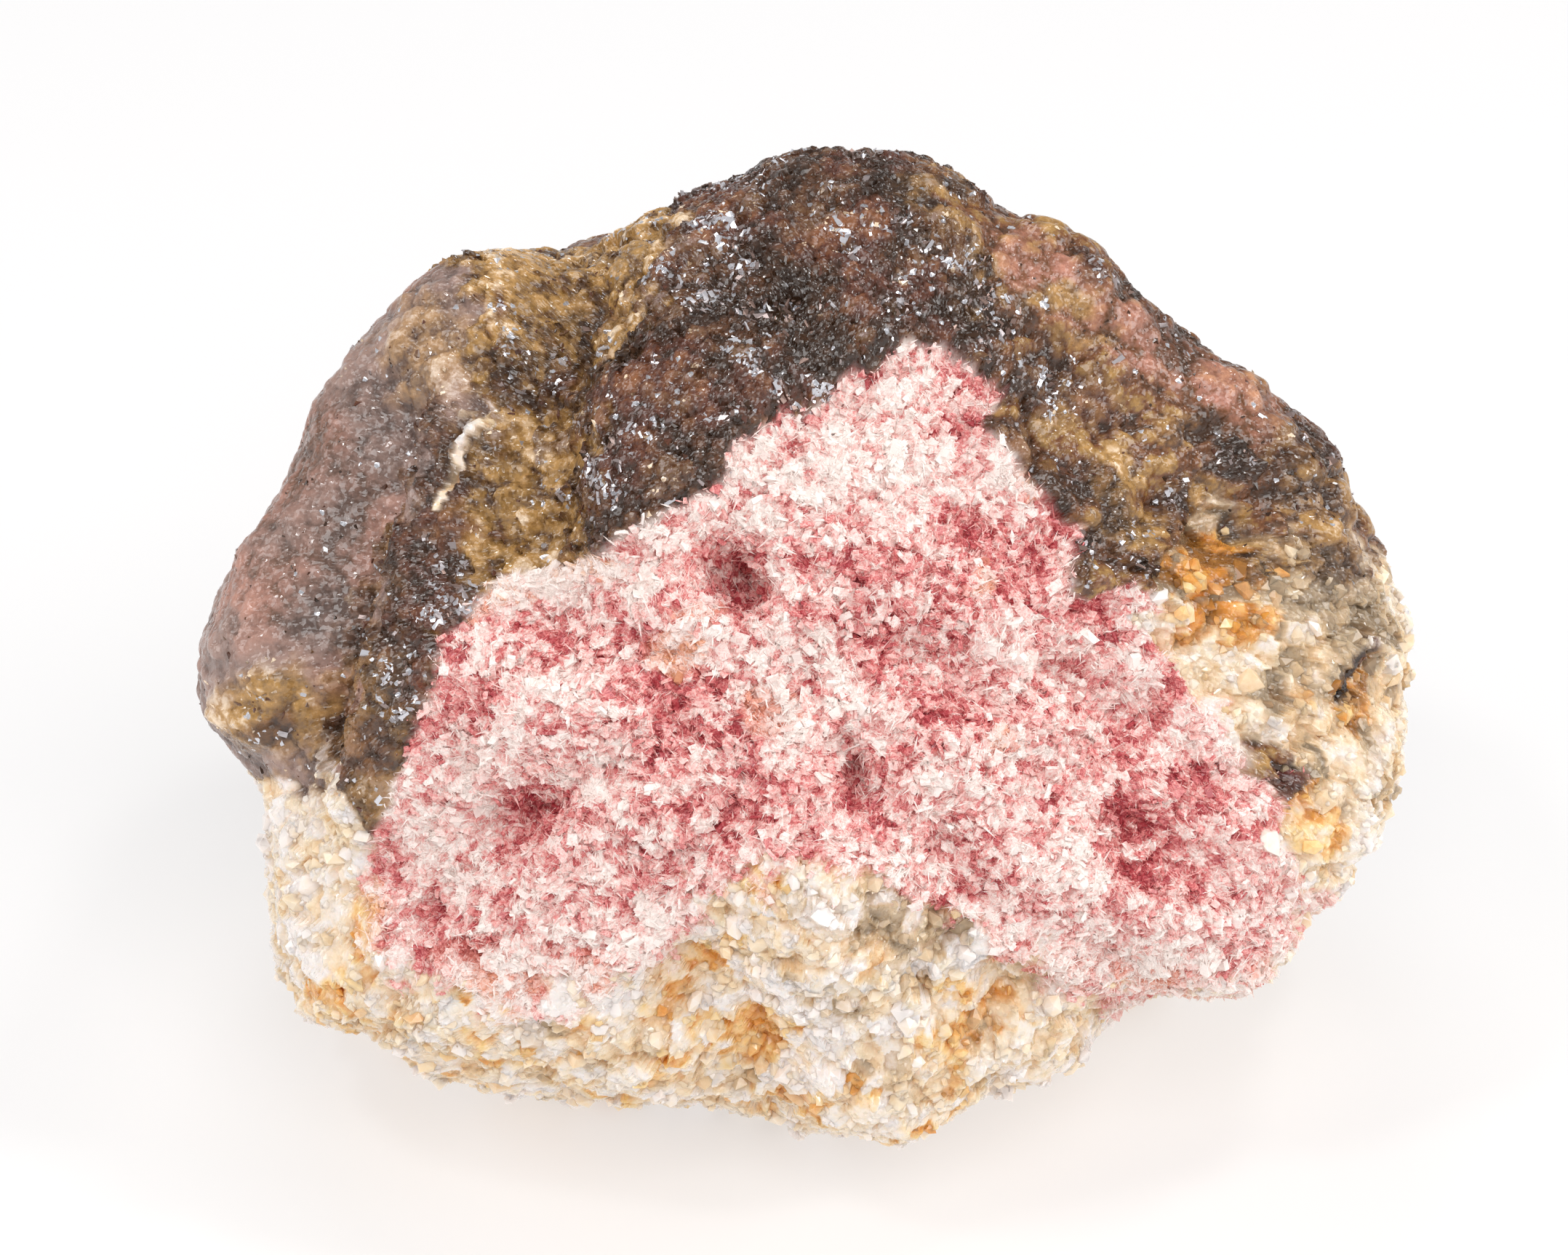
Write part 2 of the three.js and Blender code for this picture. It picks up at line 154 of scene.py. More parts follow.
# Patches painted darker: painted shade in the pits and hollows of the broken face, and deeper amber and grey
# stain in the quartz on the right.
DEEP_AND_SHADED_PATCHES = [
    (-3.1, 2.4, 1.2, 1.5, 0.85), (-1.2, 1.2, 0.9, 0.6, 0.5), (5, -0.8, 1.6, 1.2, 0.5),
    (5.7, -2.8, 1.3, 0.7, 0.8), (6.6, -1.6, 0.6, 1.2, 0.6), (1.5, -5.2, 0.5, 1, 1),
    (12.4, -1.8, 1.5, 1.3, 0.5), (13, -3, 0.7, 0.6, 0.8), (-10.8, -6.8, 2.2, 1.2, 0.65),
    (-9.2, -6.3, 1.1, 0.45, 0.6), (-10.6, -8.4, 0.9, 0.9, 0.6), (-13.2, -4.8, 0.6, 0.5, 0.9),
    (-14.6, -10.2, 0.7, 0.5, 0.9), (-14.8, -3.8, 0.8, 1.6, 0.5), (-5.8, -5, 1, 0.8, 0.6),
    (-2, -5.4, 2, 0.8, 0.4), (4.8, -7.6, 0.9, 0.9, 0.65), (5.8, -9.3, 0.6, 0.5, 0.6),
    (8.4, -6.9, 1, 0.6, 0.4), (12.4, -7, 1.3, 0.8, 0.5), (12.6, -9.3, 0.9, 0.6, 0.8), (14.4, -9, 1, 0.4, 0.6),
    (14.6, -5.2, 1.3, 0.9, 0.45), (16.4, -6.9, 1, 1.2, 0.4), (5.4, 8.6, 0.9, 0.8, 0.5),
    (7, 8.5, 0.6, 0.6, 0.9), (5.2, 4.4, 1.2, 0.7, 0.4), (8, 1.4, 0.8, 0.7, 0.5), (15.2, 2.8, 2.4, 1.5, 1.7),
    (15.8, 1, 1.8, 1, 1.1), (20.6, -0.6, 1.8, 3, 1.3), (19.6, -5, 1.8, 1.6, 0.9), (18.8, 2.4, 1.8, 1.4, 1.2),
    (19.4, 6, 2, 2, 0.4), (18.4, -1.8, 1.6, 1.6, 1.2), (21.8, -2.4, 1, 4, 0.9), (13.8, 7.2, 3, 2.4, 0.5),
    (10.8, 1, 0.8, 0.6, 0.6), (-8.6, 0, 1, 0.5, 0.5), (1.6, 2.2, 0.6, 1.2, 0.35), (-3.6, -7.6, 0.7, 0.7, 0.4),
    (-8.2, -11.9, 0.9, 0.5, 0.6), (-12.2, -9.8, 0.8, 0.8, 0.3), (9.6, -9.8, 1.2, 0.6, 0.35),
]
# Patches painted paler: painted light where the upper broken face and the lower front catch the lamps, and
# pale cream and ochre crust in the valley and on the bulge.
PALE_AND_LIT_PATCHES = [
    (-8.4, 13.6, 3.6, 2, 0.6), (-9.4, 4.6, 2.8, 1.4, 0.6), (-9.8, 2.3, 2.8, 0.8, 0.8),
    (-8, -13.8, 5, 1.3, 0.6), (1.2, -14.8, 3.2, 2.2, 0.7), (-11.8, 13, 1.8, 1.1, 0.9),
    (-9, 12.8, 1.8, 1, 0.7), (-13, 11.2, 0.9, 1.4, 0.6), (-20.4, -2.2, 2.2, 1.7, 1.1), (2.2, 8.6, 2.8, 2, 1),
    (-0.4, 6.6, 3, 1.5, 0.8), (3.4, 5.6, 1.8, 2, 0.4), (-10.2, -1.2, 2.6, 0.8, 0.6),
    (-12.4, 1.2, 1.4, 0.9, 0.5), (-6.4, -7, 1.1, 0.8, 0.5), (-1.6, -0.6, 2.4, 1.2, 0.6),
    (7.1, -0.5, 0.8, 0.9, 0.6), (9.4, -0.5, 1.6, 0.5, 0.4), (-10.8, -12.4, 1.6, 1, 0.5),
    (12.6, -12.2, 3.4, 0.8, 0.45), (-5.6, 4, 1.6, 0.7, 0.4), (-5, -12, 1.4, 0.8, 0.4),
    (9.6, -4.6, 1.4, 0.9, 0.3), (-7.4, 2.2, 1.4, 0.8, 0.3), (14.8, -1.6, 0.8, 1, 0.4),
]
PITS = [
    (-3.3, 2.3, 1.1, 1.3, 1.3), (5.7, -2.6, 1.3, 0.7, 0.7), (1.6, -5.4, 0.5, 0.9, 1.1),
    (12.6, -2.6, 1.2, 1, 0.5), (-10.8, -7, 1.8, 1, 0.6), (-14.6, -10.3, 0.5, 0.5, 0.9),
    (13, -9, 1.2, 0.6, 0.6), (15.8, -5.2, 0.6, 0.5, 0.6), (16.4, 4.2, 0.8, 0.6, 0.8),
    (-18.1, -2.7, 0.4, 1.2, 0.8), (6.8, 8.7, 0.5, 0.5, 0.5), (-13.1, -4.7, 0.5, 0.5, 0.6),
    (4.9, -7.8, 0.6, 0.5, 0.5), (20.8, -1.4, 0.4, 0.8, 0.5), (3.4, -12.6, 0.7, 0.4, 0.4),
    (12.9, 5.4, 0.4, 0.8, 0.4),
]
CHIP = [  # a pale chipped line on the ridge
    (-12.6, 8.3), (-13.3, 7.3), (-13.4, 6.4), (-13.9, 5.6), (-14.2, 5),
]
SCALES = [  # pale scaly places on the crown, where the painted glints crowd
    (1.5, 14.7, 0.55, 0.4, 0.9), (2.9, 12.6, 0.8, 0.3, 0.8), (3.4, 13.8, 0.4, 0.3, 0.8),
    (5.9, 14.7, 0.25, 0.4, 0.9), (-1.2, 12.2, 0.25, 0.4, 0.7), (-13, 8.8, 0.25, 0.2, 1),
    (-17.6, 1.6, 0.25, 0.4, 0.8), (2.2, 18.6, 0.8, 0.3, 0.5),
]
RUSTY_KNOBS = [
    (16.9, -4.4, 0.95, 0.65, 1), (11.6, 6, 0.9, 0.8, 0.6), (17.9, -5.6, 0.5, 0.4, 0.8),
]
ROSY_BAND = [  # a pinkish band down the right shoulder
    (7.6, 14.6), (10.6, 12.4), (14, 10.4), (17, 8.6),
]


def display(red, green, blue):
    """A colour as a screen shows it, 0 to 255, turned into the linear values that shaders use."""
    share = np.array([red, green, blue]) / 255
    return tuple(np.where(share <= 0.04045, share / 12.92, ((share + 0.055) / 1.055) ** 2.4))


def colour(name, words, *shown):
    return FloatVectorProperty(
        name=name, description=words, default=display(*shown), size=3, min=0, max=1, subtype="COLOR"
    )


# ---- Noise: whole arrays of points at once ----

STIRRERS = np.array([374761393, 668265263, 2246822519, 1274126177, 2654435761], np.uint32)  # large and odd
SALT_STEP, SALT_START = 40503, 977
FACET_SLOPE, FACET_HEIGHT = 1.6, 1.4  # of broken facets, the second as a share of their size
KNOB_REACH, KNOB_SPREAD, KNOB_LARGEST = 0.45, 0.4, 0.85  # the radii of knobs, as shares of a cell


def lattice(cells, salt):
    """Repeatable numbers from 0 to 1 for whole-number cells: the three numbers, stirred together bitwise."""
    i, j, k = (cells[..., axis].astype(np.int64).astype(np.uint32) for axis in range(3))
    stirred = (i * STIRRERS[0]) ^ (j * STIRRERS[1]) ^ (k * STIRRERS[2])
    stirred ^= np.uint32(salt * SALT_STEP + SALT_START)
    stirred = (stirred ^ (stirred >> np.uint32(13))) * STIRRERS[3]
    stirred = (stirred ^ (stirred >> np.uint32(15))) * STIRRERS[4]
    return (stirred ^ (stirred >> np.uint32(16))).astype(np.float64) / 2**32


def lattice_points(cells, salt):
    """A place in each cell: three numbers of its own from 0 to 1."""
    return np.stack([lattice(cells, salt + n) for n in range(3)], axis=-1)


def lumps(points, wavelength, salt):
    """Smooth lumps from -1 to 1: cell values blended between the eight corners around each point."""
    scaled = points / wavelength
    corner = np.floor(scaled)
    t = scaled - corner
    t = t * t * (3 - 2 * t)
    total = 0.0
    for step in product((0, 1), repeat=3):
        weight = np.prod(np.where(step, t, 1 - t), axis=-1)
        total = total + weight * lattice(corner + step, salt)
    return 2 * total - 1


def layered(points, wavelength, salt, layers=3):
    """Lumps on lumps, from -1 to 1: each layer has half the wavelength and half the height of the last."""
    heights = [0.5**n for n in range(layers)]
    total = sum(h * lumps(points, wavelength * h, salt + n) for n, h in enumerate(heights))
    return total / sum(heights)


def cells_around(points, size, salt):
    """The 27 cells around each point, and its offset from the one centre scattered in each of them."""
    scaled = points / size
    own_cell = np.floor(scaled)
    for step in product((-1, 0, 1), repeat=3):
        cell = own_cell + step
        yield cell, scaled - cell - lattice_points(cell, salt)


def shards(points, size, salt):
    """Broken facets: each point takes the tilted plane of the nearest of one scattered centre per cell.

    Returns the plane's height there, about -1 to 1, and a number from 0 to 1 that the whole facet shares.
    """
    nearest = np.full(points.shape[:-1], np.inf)
    height, own = np.zeros((2, *points.shape[:-1]))
    for cell, offset in cells_around(points, size, salt):
        gap = np.sum(offset**2, axis=-1)
        closer = gap < nearest
        nearest = np.where(closer, gap, nearest)
        tilt = lattice_points(cell[closer], salt + 3) - 0.5
        own[closer] = lattice(cell[closer], salt + 6)
        rise = FACET_SLOPE * np.sum(offset[closer] * tilt, axis=-1)
        height[closer] = FACET_HEIGHT * (own[closer] - 0.5 + rise)
    return height, own


def knobs(points, size, salt):
    """Round knobs from 0 to 1, one in each cell: the highest of the domes sqrt(1 - (distance / reach) ** 2).

    Returns the height, and a number from 0 to 1 that the whole knob shares.
    """
    height, own = np.zeros(points.shape[:-1]), np.full(points.shape[:-1], 0.5)
    for cell, offset in cells_around(points, size, salt):
        reach = KNOB_REACH + KNOB_SPREAD * lattice(cell, salt + 3)
        dome = np.sqrt(np.maximum(1 - np.sum(offset**2, axis=-1) / reach**2, 0)) * reach / KNOB_LARGEST
        higher = dome > height
        height[higher] = dome[higher]
        own[higher] = lattice(cell[higher], salt + 4)
    return height, own


def smooth_step(low, high, x):
    """0 below low, 1 above high, and an S curve between."""
    t = np.clip((x - low) / (high - low), 0, 1)
    return t * t * (3 - 2 * t)


def mixed(first, second, share):
    """The first where the share is 0, the second where it is 1, and a blend between."""
    return first + (second - first) * share


# ---- Outlines and zones ----


def seen(points):
    """Across and up the face as the eye out in front sees the points, and how far out of it they lie."""
    across, up, out = ((points - HEART) @ axis for axis in (ACROSS, UP_FACE, OUT))
    spread = SIGHT_DISTANCE / (SIGHT_DISTANCE - out)
    return across * spread, up * spread, out


def gap_to_stretch(x, y, start, end):
    """Distance from each place to the straight stretch between two others."""
    along = np.subtract(end, start)
    share = np.clip(((x - start[0]) * along[0] + (y - start[1]) * along[1]) / (along @ along), 0, 1)
    return np.hypot(x - start[0] - share * along[0], y - start[1] - share * along[1])


def gap_to_line(x, y, line):
    """Distance from each place to the nearest stretch of an open line."""
    return np.min([gap_to_stretch(x, y, start, end) for start, end in zip(line, line[1:])], axis=0)


def depth_inside(x, y, outline):
    """Distance of each place to a closed outline, positive inside and negative outside."""
    gap = np.full(x.shape, np.inf)
    inside = np.zeros(x.shape, bool)
    for start, end in zip(outline, outline[1:] + outline[:1]):
        gap = np.minimum(gap, gap_to_stretch(x, y, start, end))
        if start[1] != end[1]:
            crossing = start[0] + (y - start[1]) * (end[0] - start[0]) / (end[1] - start[1])
            inside ^= ((start[1] > y) != (end[1] > y)) & (x < crossing)
    return np.where(inside, gap, -gap)


def patch_strength(x, y, patches, edge=0.35):
    """The strongest of the patches at each place: 1 inside an ellipse, fading out over its edge."""
    total = np.zeros(x.shape)
    for across, up, half_width, half_height, strength in patches:
        reach = np.hypot((x - across) / half_width, (y - up) / half_height)
        total = np.maximum(total, strength * smooth_step(1 + edge, 1 - edge, reach))
    return total


FRAYING = ((1.5, 0.5), (0.6, 0.34), (0.25, 0.2))  # wavelength and height of the lumps that fray an outline


def frayed(points, x, y, scale):
    """The sighted places moved about by lumps of three sizes, which makes outlines and patches ragged."""
    moved = []
    for place, salt in ((x, 11), (y, 16)):
        shift = sum(height * lumps(points, size, salt + n) for n, (size, height) in enumerate(FRAYING))
        moved.append(place + scale * shift)
    return moved


def zones_at(points):
    """How much each kind of surface there is at each point, from 0 to 1, by name.

    On the side of the broken face the outlines and patches say so. On the far side crust covers the upper
    part and quartz the lower, parted along a wandering line, and noise places the rest.
    """
    x, y, out = seen(points)
    fx, fy = frayed(points, x, y, 1.0)
    wide_x, wide_y = frayed(points, x, y, 2.2)
    front = smooth_step(-4.0, 0.5, out + 2.0 * lumps(points, 4.0, 21))
    facing = smooth_step(0.0, 2.0, out)
    mottle, blotch = layered(points, 2.6, 31, 4), layered(points, 5.0, 36, 4)
    stipple = layered(points, 0.5, 41, 2)

    def depth_wide(outline):
        return depth_inside(wide_x, wide_y, outline)

    def within(outline, softness=0.4):
        return smooth_step(-softness, softness, depth_wide(outline))

    def patched(patches, edge=0.35):
        return patch_strength(fx, fy, patches, edge)

    def both_sides(front_value, back_value):
        return front * front_value + (1 - front) * back_value

    # the far side
    belt = (points - HEART) @ UP_FACE + 3.4 * lumps(points, 9.0, 22) + 1.6 * layered(points, 3.2, 23, 3)
    back_crust = smooth_step(-5.0, -4.6, belt)
    back_mauve = back_crust * smooth_step(0.0, 0.07, lumps(points, 6.5, 27) + 0.6 * mottle)
    back_dark = smooth_step(-0.3, 0.1, lumps(points, 3.0, 42) + 0.5 * mottle)
    back_rosy = 0.6 * smooth_step(0.1, 0.6, layered(points, 6.0, 43, 4)) * back_crust

    # rose rock, crisp against the crust and soft against the quartz
    crisp = smooth_step(-0.1, 0.1, depth_inside(*frayed(points, x, y, 0.6), ROSE_FACE))
    soft = smooth_step(-0.9, 0.7, depth_wide(ROSE_FACE))
    beside_quartz = np.maximum(smooth_step(-6.5, -9.0, y), smooth_step(12.5, 15.0, x))
    rose = mixed(crisp, soft, beside_quartz) * facing
    knob = patched(RUSTY_KNOBS) * facing
    rose = rose * (1 - knob)

    # where crust of any kind lies, which melts into the quartz on the right
    crown, valley, left_ridge = within(CROWN), within(VALLEY), within(LEFT_RIDGE)
    bulge, flank = within(LEFT_BULGE, 0.8), within(RIGHT_FLANK)
    kinds = (CROWN, VALLEY, LEFT_RIDGE, LEFT_BULGE, RIGHT_FLANK)
    outlines = np.max([depth_inside(fx, fy, outline) for outline in kinds], axis=0)
    crusted = smooth_step(-0.35, -0.05, outlines)
    melting = smooth_step(-1.5, 0.9, depth_wide(RIGHT_FLANK))
    crusted = mixed(crusted, melting, smooth_step(13.0, 15.0, x))

    # the kinds of crust
    valley_light = 0.3 + 0.7 * np.maximum(smooth_step(10.2, 12.0, y), smooth_step(7.4, 6.2, y))
    ochre = np.max([
        patched(OCHRE_PATCHES),
        valley_light * valley * smooth_step(-0.4, 0.05, 0.5 * mottle + 0.7 * stipple),
        0.5 * crown * smooth_step(0.3, 0.4, mottle),
    ], axis=0)
    valley_dark = smooth_step(0.0, 0.25, 0.28 - 0.5 * blotch - 0.7 * stipple - 0.4 * valley_light)
    dark = np.max([
        np.maximum(crown, 0.9 * left_ridge) * (1 - 0.4 * smooth_step(0.15, 0.35, blotch)),
        patched(BLACK_PATCHES),
        0.7 * flank * smooth_step(0.1, 0.25, -mottle),
        0.8 * valley * valley_dark,
    ], axis=0)
    along_streaks = np.stack([0.35 * x + 0.6 * y, 0.2 * y - 0.35 * x, points[..., 1] * 0.2], axis=-1)
    streak = lumps(along_streaks, 0.45, 47)
    rosy = flank * smooth_step(1.5, 0.6, gap_to_line(fx, fy, ROSY_BAND)) * (0.7 + 0.45 * streak)
    rosy = np.maximum(rosy, 0.5 * bulge * smooth_step(0.0, 0.4, blotch))

    # small marks
    chip = smooth_step(0.2, 0.1, gap_to_line(*frayed(points, x, y, 0.15), CHIP))
    scales = patched(SCALES) * facing
    chip = np.maximum(chip * facing, 0.45 * scales)
    whole = 1 - chip
    rim_stain = 0.55 * smooth_step(-0.1, 0.3, mottle) * smooth_step(-11.0, -13.5, y)
    back_stain, back_smoke = (smooth_step(0.1, 0.3, sign * mottle) for sign in (1, -1))
    return {
        "rose": rose,
        "crust": whole * both_sides(np.maximum(crusted, knob), back_crust),
        "dark": whole * both_sides(dark * (1 - 0.8 * rosy), (back_crust - back_mauve) * back_dark),
        "mauve": whole * both_sides(bulge, back_mauve),
        "ochre": whole * both_sides(ochre, back_crust * smooth_step(0.22, 0.36, mottle)),
        "rust": whole * both_sides(np.maximum(flank, knob), smooth_step(0.05, 0.2, blotch) * back_crust),
        "rosy": whole * both_sides(np.clip(rosy, 0, 1), back_rosy),
        "chip": chip,
        "honey": both_sides(np.maximum(patched(HONEY_PATCHES), rim_stain), 0.8 * back_stain),
        "smoke": both_sides(patched(SMOKE_PATCHES), 0.6 * back_smoke),
        # darker: painted shade in the pits, and deeper stain in the quartz
        "deep_and_shaded": front * patched(DEEP_AND_SHADED_PATCHES, 0.6),
        # paler: painted light on the upper face and the lower front, and pale cream crust
        "pale": front * patched(PALE_AND_LIT_PATCHES, 0.6),
        "maroon": smooth_step(-0.05, 0.3, layered(points, 2.2, 44, 3)),
        # sparkle: how thickly the painted glints and the bright crust flakes lie
        "sparkle": 0.12 + 0.88 * smooth_step(0.0, 0.45, layered(points, 1.8, 46, 3)) + 3.0 * scales,
    }


# ---- The skin's shape ----

PANELS = [  # name, normal, side and top of each
    ("front", OUT, ACROSS, UP_FACE), ("back", -OUT, UP_FACE, ACROSS), ("right", ACROSS, UP_FACE, OUT),
    ("left", -ACROSS, OUT, UP_FACE), ("top", UP_FACE, OUT, ACROSS), ("under", -UP_FACE, ACROSS, OUT),
]


def panel_directions(steps):
    """Unit directions of a ball made of six square panels, as on a cube blown up: one grid for each panel.

    Across a panel the direction is normal + side * tan(s) + top * tan(t), with s and t in equal steps from
    -45 to 45 degrees, so neighbours share the directions along their edges.
    """
    slope = np.tan((np.arange(steps + 1) / steps - 0.5) * np.pi / 2)
    s, t = (grid[..., None] for grid in np.meshgrid(slope, slope, indexing="ij"))
    directions = np.stack([n + s * side + t * top for _, n, side, top in PANELS])
    return directions / np.linalg.norm(directions, axis=-1, keepdims=True)


def bell_weights(bells, heights):
    """Weights that make a sum of bells pass through the given heights, by conjugate gradients."""
    weights = np.zeros(len(heights))
    left = heights.copy()
    step, size = left.copy(), left @ left
    while size > 1e-10 * len(heights):
        spread = bells @ step
        share = size / (step @ spread)
        weights += share * step
        left -= share * spread
        step, size = left + (left @ left) / size * step, left @ left
    return weights


BELL_WIDTH = 1.05  # of the solid's bells, in steps from one of its vertices to the next
BELL_REACH = 4  # widths past which a bell counts as nothing


def solid_radius(directions):
    """The solid's distance from its heart in each direction.

    A sum of bell curves of the angle, one on each of the solid's vertices, weighted so that the sum passes
    through every vertex. That rounds off the solid's facets and moves nothing.
    """
    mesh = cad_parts[NODE].data
    flat = np.empty(len(mesh.vertices) * 3, np.float32)
    mesh.vertices.foreach_get("co", flat)
    vertices = np.unique(np.round(flat.reshape(-1, 3) / MM, 4), axis=0) - HEART
    reach = np.linalg.norm(vertices, axis=1)
    ways = vertices / reach[:, None]
    width = BELL_WIDTH * math.sqrt(4 * math.pi / len(ways))

    def bells(towards, centres):
        return np.exp((towards @ centres.T - 1) * (2 / width**2))

    weights = bell_weights(bells(ways, ways) + 1e-3 * np.eye(len(ways)), reach - reach.mean())
    radius = []
    for part in directions.reshape(-1, directions.shape[-2], 3):  # one grid row at a time
        low, high = part.min(axis=0) - BELL_REACH * width, part.max(axis=0) + BELL_REACH * width
        near = np.all((ways > low) & (ways < high), axis=1)
        radius.append(bells(part, ways[near]) @ weights[near])
    return reach.mean() + np.reshape(radius, directions.shape[:-1])


LIP, CHIP_RISE, PIT_DEPTH = 0.25, 0.15, 0.8  # in millimetres: the crust's raised edge, the chip and the pits


def relief_at(base, zones):
    """Fine relief in millimetres, and each place's tone from dark to pale, from 0 to 1.

    Broken rock is facets of three sizes, added up. Crust is round knobs of two sizes with a grain of small
    facets. High, outward facets and knobs are painted paler and low places darker: painted shade in the
    hollows, along with the pale frost of bruised crystal tips. Each crust knob has its own tone as well.
    """
    large, _ = shards(base, 2.0, 51)
    middle, own_middle = shards(base, 0.85, 61)
    small, own_small = shards(base, 0.33, 71)
    swell, ripple = layered(base, 2.4, 81, 3), layered(base, 0.45, 85, 2)
    knob, own_knob = knobs(base, 1.5, 91)
    bead, own_bead = knobs(base, 0.55, 96)

    # the height of each bump on each kind of surface, and last how far that surface is set out
    rose = 0.15 * large + 0.13 * middle + 0.09 * small + 0.07 * ripple + 0.3 * swell
    quartz = 0.26 * large + 0.18 * middle + 0.02 * small + 0.3 * swell + 0.34 * knob + 0.1 * bead - 0.38
    dark = 0.25 * swell + 0.1 * middle + 0.04 * small + 0.06 * ripple + 0.16 * bead + 0.2
    mauve = 0.32 * swell + 0.01 * small + 0.03 * ripple + 0.14 * (knob + bead - 0.6) - 0.25
    wart = (0.6 - 0.4 * zones["rosy"]) * (knob - 0.4)
    rust = 0.16 * swell + wart + 0.01 * small + 0.03 * ripple + 0.12 * bead
    rusty = np.maximum(zones["rust"], zones["ochre"]) * (1 - zones["dark"])
    crusted = mixed(mixed(mauve, dark, zones["dark"]), rust, rusty)
    broken = mixed(quartz, rose, zones["rose"])

    x, y, out = seen(base)
    facing = smooth_step(0.0, 3.0, out)
    pits = facing * patch_strength(x, y, PITS, edge=0.5)
    edge = np.minimum(depth_inside(x, y, ROSE_FACE), 0)
    lip = facing * LIP * np.exp(-((edge + 0.4) ** 2) / 0.4)
    bare = zones["crust"] * (1 - zones["rose"])
    height = mixed(broken, crusted + lip, bare) + CHIP_RISE * zones["chip"] - PIT_DEPTH * pits

    # tones: each grain's own random tone, plus painted shade: the lower a place lies in the swell, knobs,
    # beads and facets, the darker, and the higher, the paler
    rose_tone = 0.28 * (own_middle - 0.5) + 0.44 * (own_small - 0.5) + 0.32 * swell + 0.1 * small
    crust_tone = 0.3 * (own_knob + own_bead - 1) + 0.35 * (knob + bead - 0.8)
    crust_tone = crust_tone * (1 - 0.6 * zones["rosy"]) + 0.35 * swell
    quartz_tone = 0.44 * (own_middle * 7 % 1 - 0.5) + 0.18 * (own_bead + bead - 0.9) + 0.1 * ripple
    quartz_tone = quartz_tone + 0.2 * (knob - 0.45) + 0.12 * large
    # the pale patches add painted light and the deep ones painted shade in the pits, along with pale crust
    # and deeper stain
    lift = 0.2 * zones["pale"] - 0.28 * zones["deep_and_shaded"]
    for name in ("honey", "smoke"):  # whole grains take the stain or stay clear of it
        chance = 0.8 * (own_middle * 11 % 1 - 0.5) * (zones[name] > 0)
        stained = smooth_step(0.25, 0.75, zones[name] + chance)
        zones[name] = np.where(zones["rose"] > 0.5, zones[name], stained)
    tone = mixed(mixed(quartz_tone, rose_tone, zones["rose"]), crust_tone, bare)
    return height, np.clip(0.5 + lift + tone, 0, 1)


class Skin:
    """The stone's outer surface, as six grids: its points, faces, normals and zones."""

    def __init__(self, steps, relief):
        """Radius = the solid's radius + fine relief, which fades out near the foot, so that stays flat."""
        directions = panel_directions(steps)
        radius = solid_radius(directions)
        base = HEART + directions * radius[..., None]
        zones = zones_at(base)
        height, tone = relief_at(base, zones)
        settled = smooth_step(0.2, 2.2, base[..., 2])
        self.points = HEART + directions * (radius + relief * settled * height)[..., None]
        self.points[..., 2] = np.maximum(self.points[..., 2], 0)
        self.zones = {**zones, "tone": tone}
        corner = np.arange(6 * (steps + 1) ** 2).reshape(6, steps + 1, steps + 1)
        quads = [corner[:, :-1, :-1], corner[:, 1:, :-1], corner[:, 1:, 1:], corner[:, :-1, 1:]]
        self.quads = np.stack(quads, axis=-1).reshape(-1, 4)
        flat = self.points.reshape(-1, 3)
        first, second = (flat[self.quads[:, n + 2]] - flat[self.quads[:, n]] for n in (0, 1))
        normal = np.cross(first, second)
        self.areas = np.linalg.norm(normal, axis=1)
        self.normals = normal / self.areas[:, None]

    def sector(self, number):
        """One panel's points and triangles, closed by walls from its four edges to the stone's heart."""
        steps = self.points.shape[1] - 1
        corner = np.arange((steps + 1) ** 2).reshape(steps + 1, steps + 1)
        a, b, c, d = corner[:-1, :-1], corner[1:, :-1], corner[1:, 1:], corner[:-1, 1:]
        top = np.concatenate([np.stack(trio, axis=-1).reshape(-1, 3) for trio in ((a, b, c), (a, c, d))])
        rim = np.concatenate([corner[:-1, 0], corner[-1, :-1], corner[:0:-1, -1], corner[0, :0:-1]])
        walls = np.stack([np.roll(rim, -1), rim, np.full(len(rim), corner.size)], axis=-1)
        points = np.concatenate([self.points[number].reshape(-1, 3), HEART[None]])
        return points, np.concatenate([top, walls])

    def scatter(self, count, weight, rng):
        """Grain places: faces drawn by area times weight, and a random point on each, with its zones."""
        weight = weight.ravel()
        share = self.areas * weight[self.quads].mean(axis=1)
        chosen = rng.choice(len(share), count, p=share / share.sum())
        s, t = rng.random((2, count))
        corners = self.quads[chosen]
        mix = np.stack([(1 - s) * (1 - t), s * (1 - t), s * t, (1 - s) * t], axis=1)
        places = np.einsum("nk,nkc->nc", mix, self.points.reshape(-1, 3)[corners])
        zones = {name: np.einsum("nk,nk->n", mix, zone.ravel()[corners]) for name, zone in self.zones.items()}
        return places, self.normals[chosen], zones


# ---- Meshes ----


def make_mesh(name, points, faces, values=None, smooth=False):
    """A mesh object from millimetre points, faces of one size, and one number per point by attribute name."""
    mesh = bpy.data.meshes.new(name)
    count, size = faces.shape
    mesh.vertices.add(len(points))
    mesh.vertices.foreach_set("co", (points * MM).astype(np.float32).ravel())
    mesh.loops.add(count * size)
    mesh.loops.foreach_set("vertex_index", faces.astype(np.int32).ravel())
    mesh.polygons.add(count)
    mesh.polygons.foreach_set("loop_start", np.arange(0, count * size, size, dtype=np.int32))
    mesh.polygons.foreach_set("use_smooth", np.full(count, smooth))
    mesh.update(calc_edges=True)
    for key, value in (values or {}).items():
        layer = mesh.attributes.new(key, "FLOAT", "POINT")
        layer.data.foreach_set("value", np.asarray(value, np.float32))
    made = bpy.data.objects.new(name, mesh)
    bpy.context.scene.collection.objects.link(made)
    return made


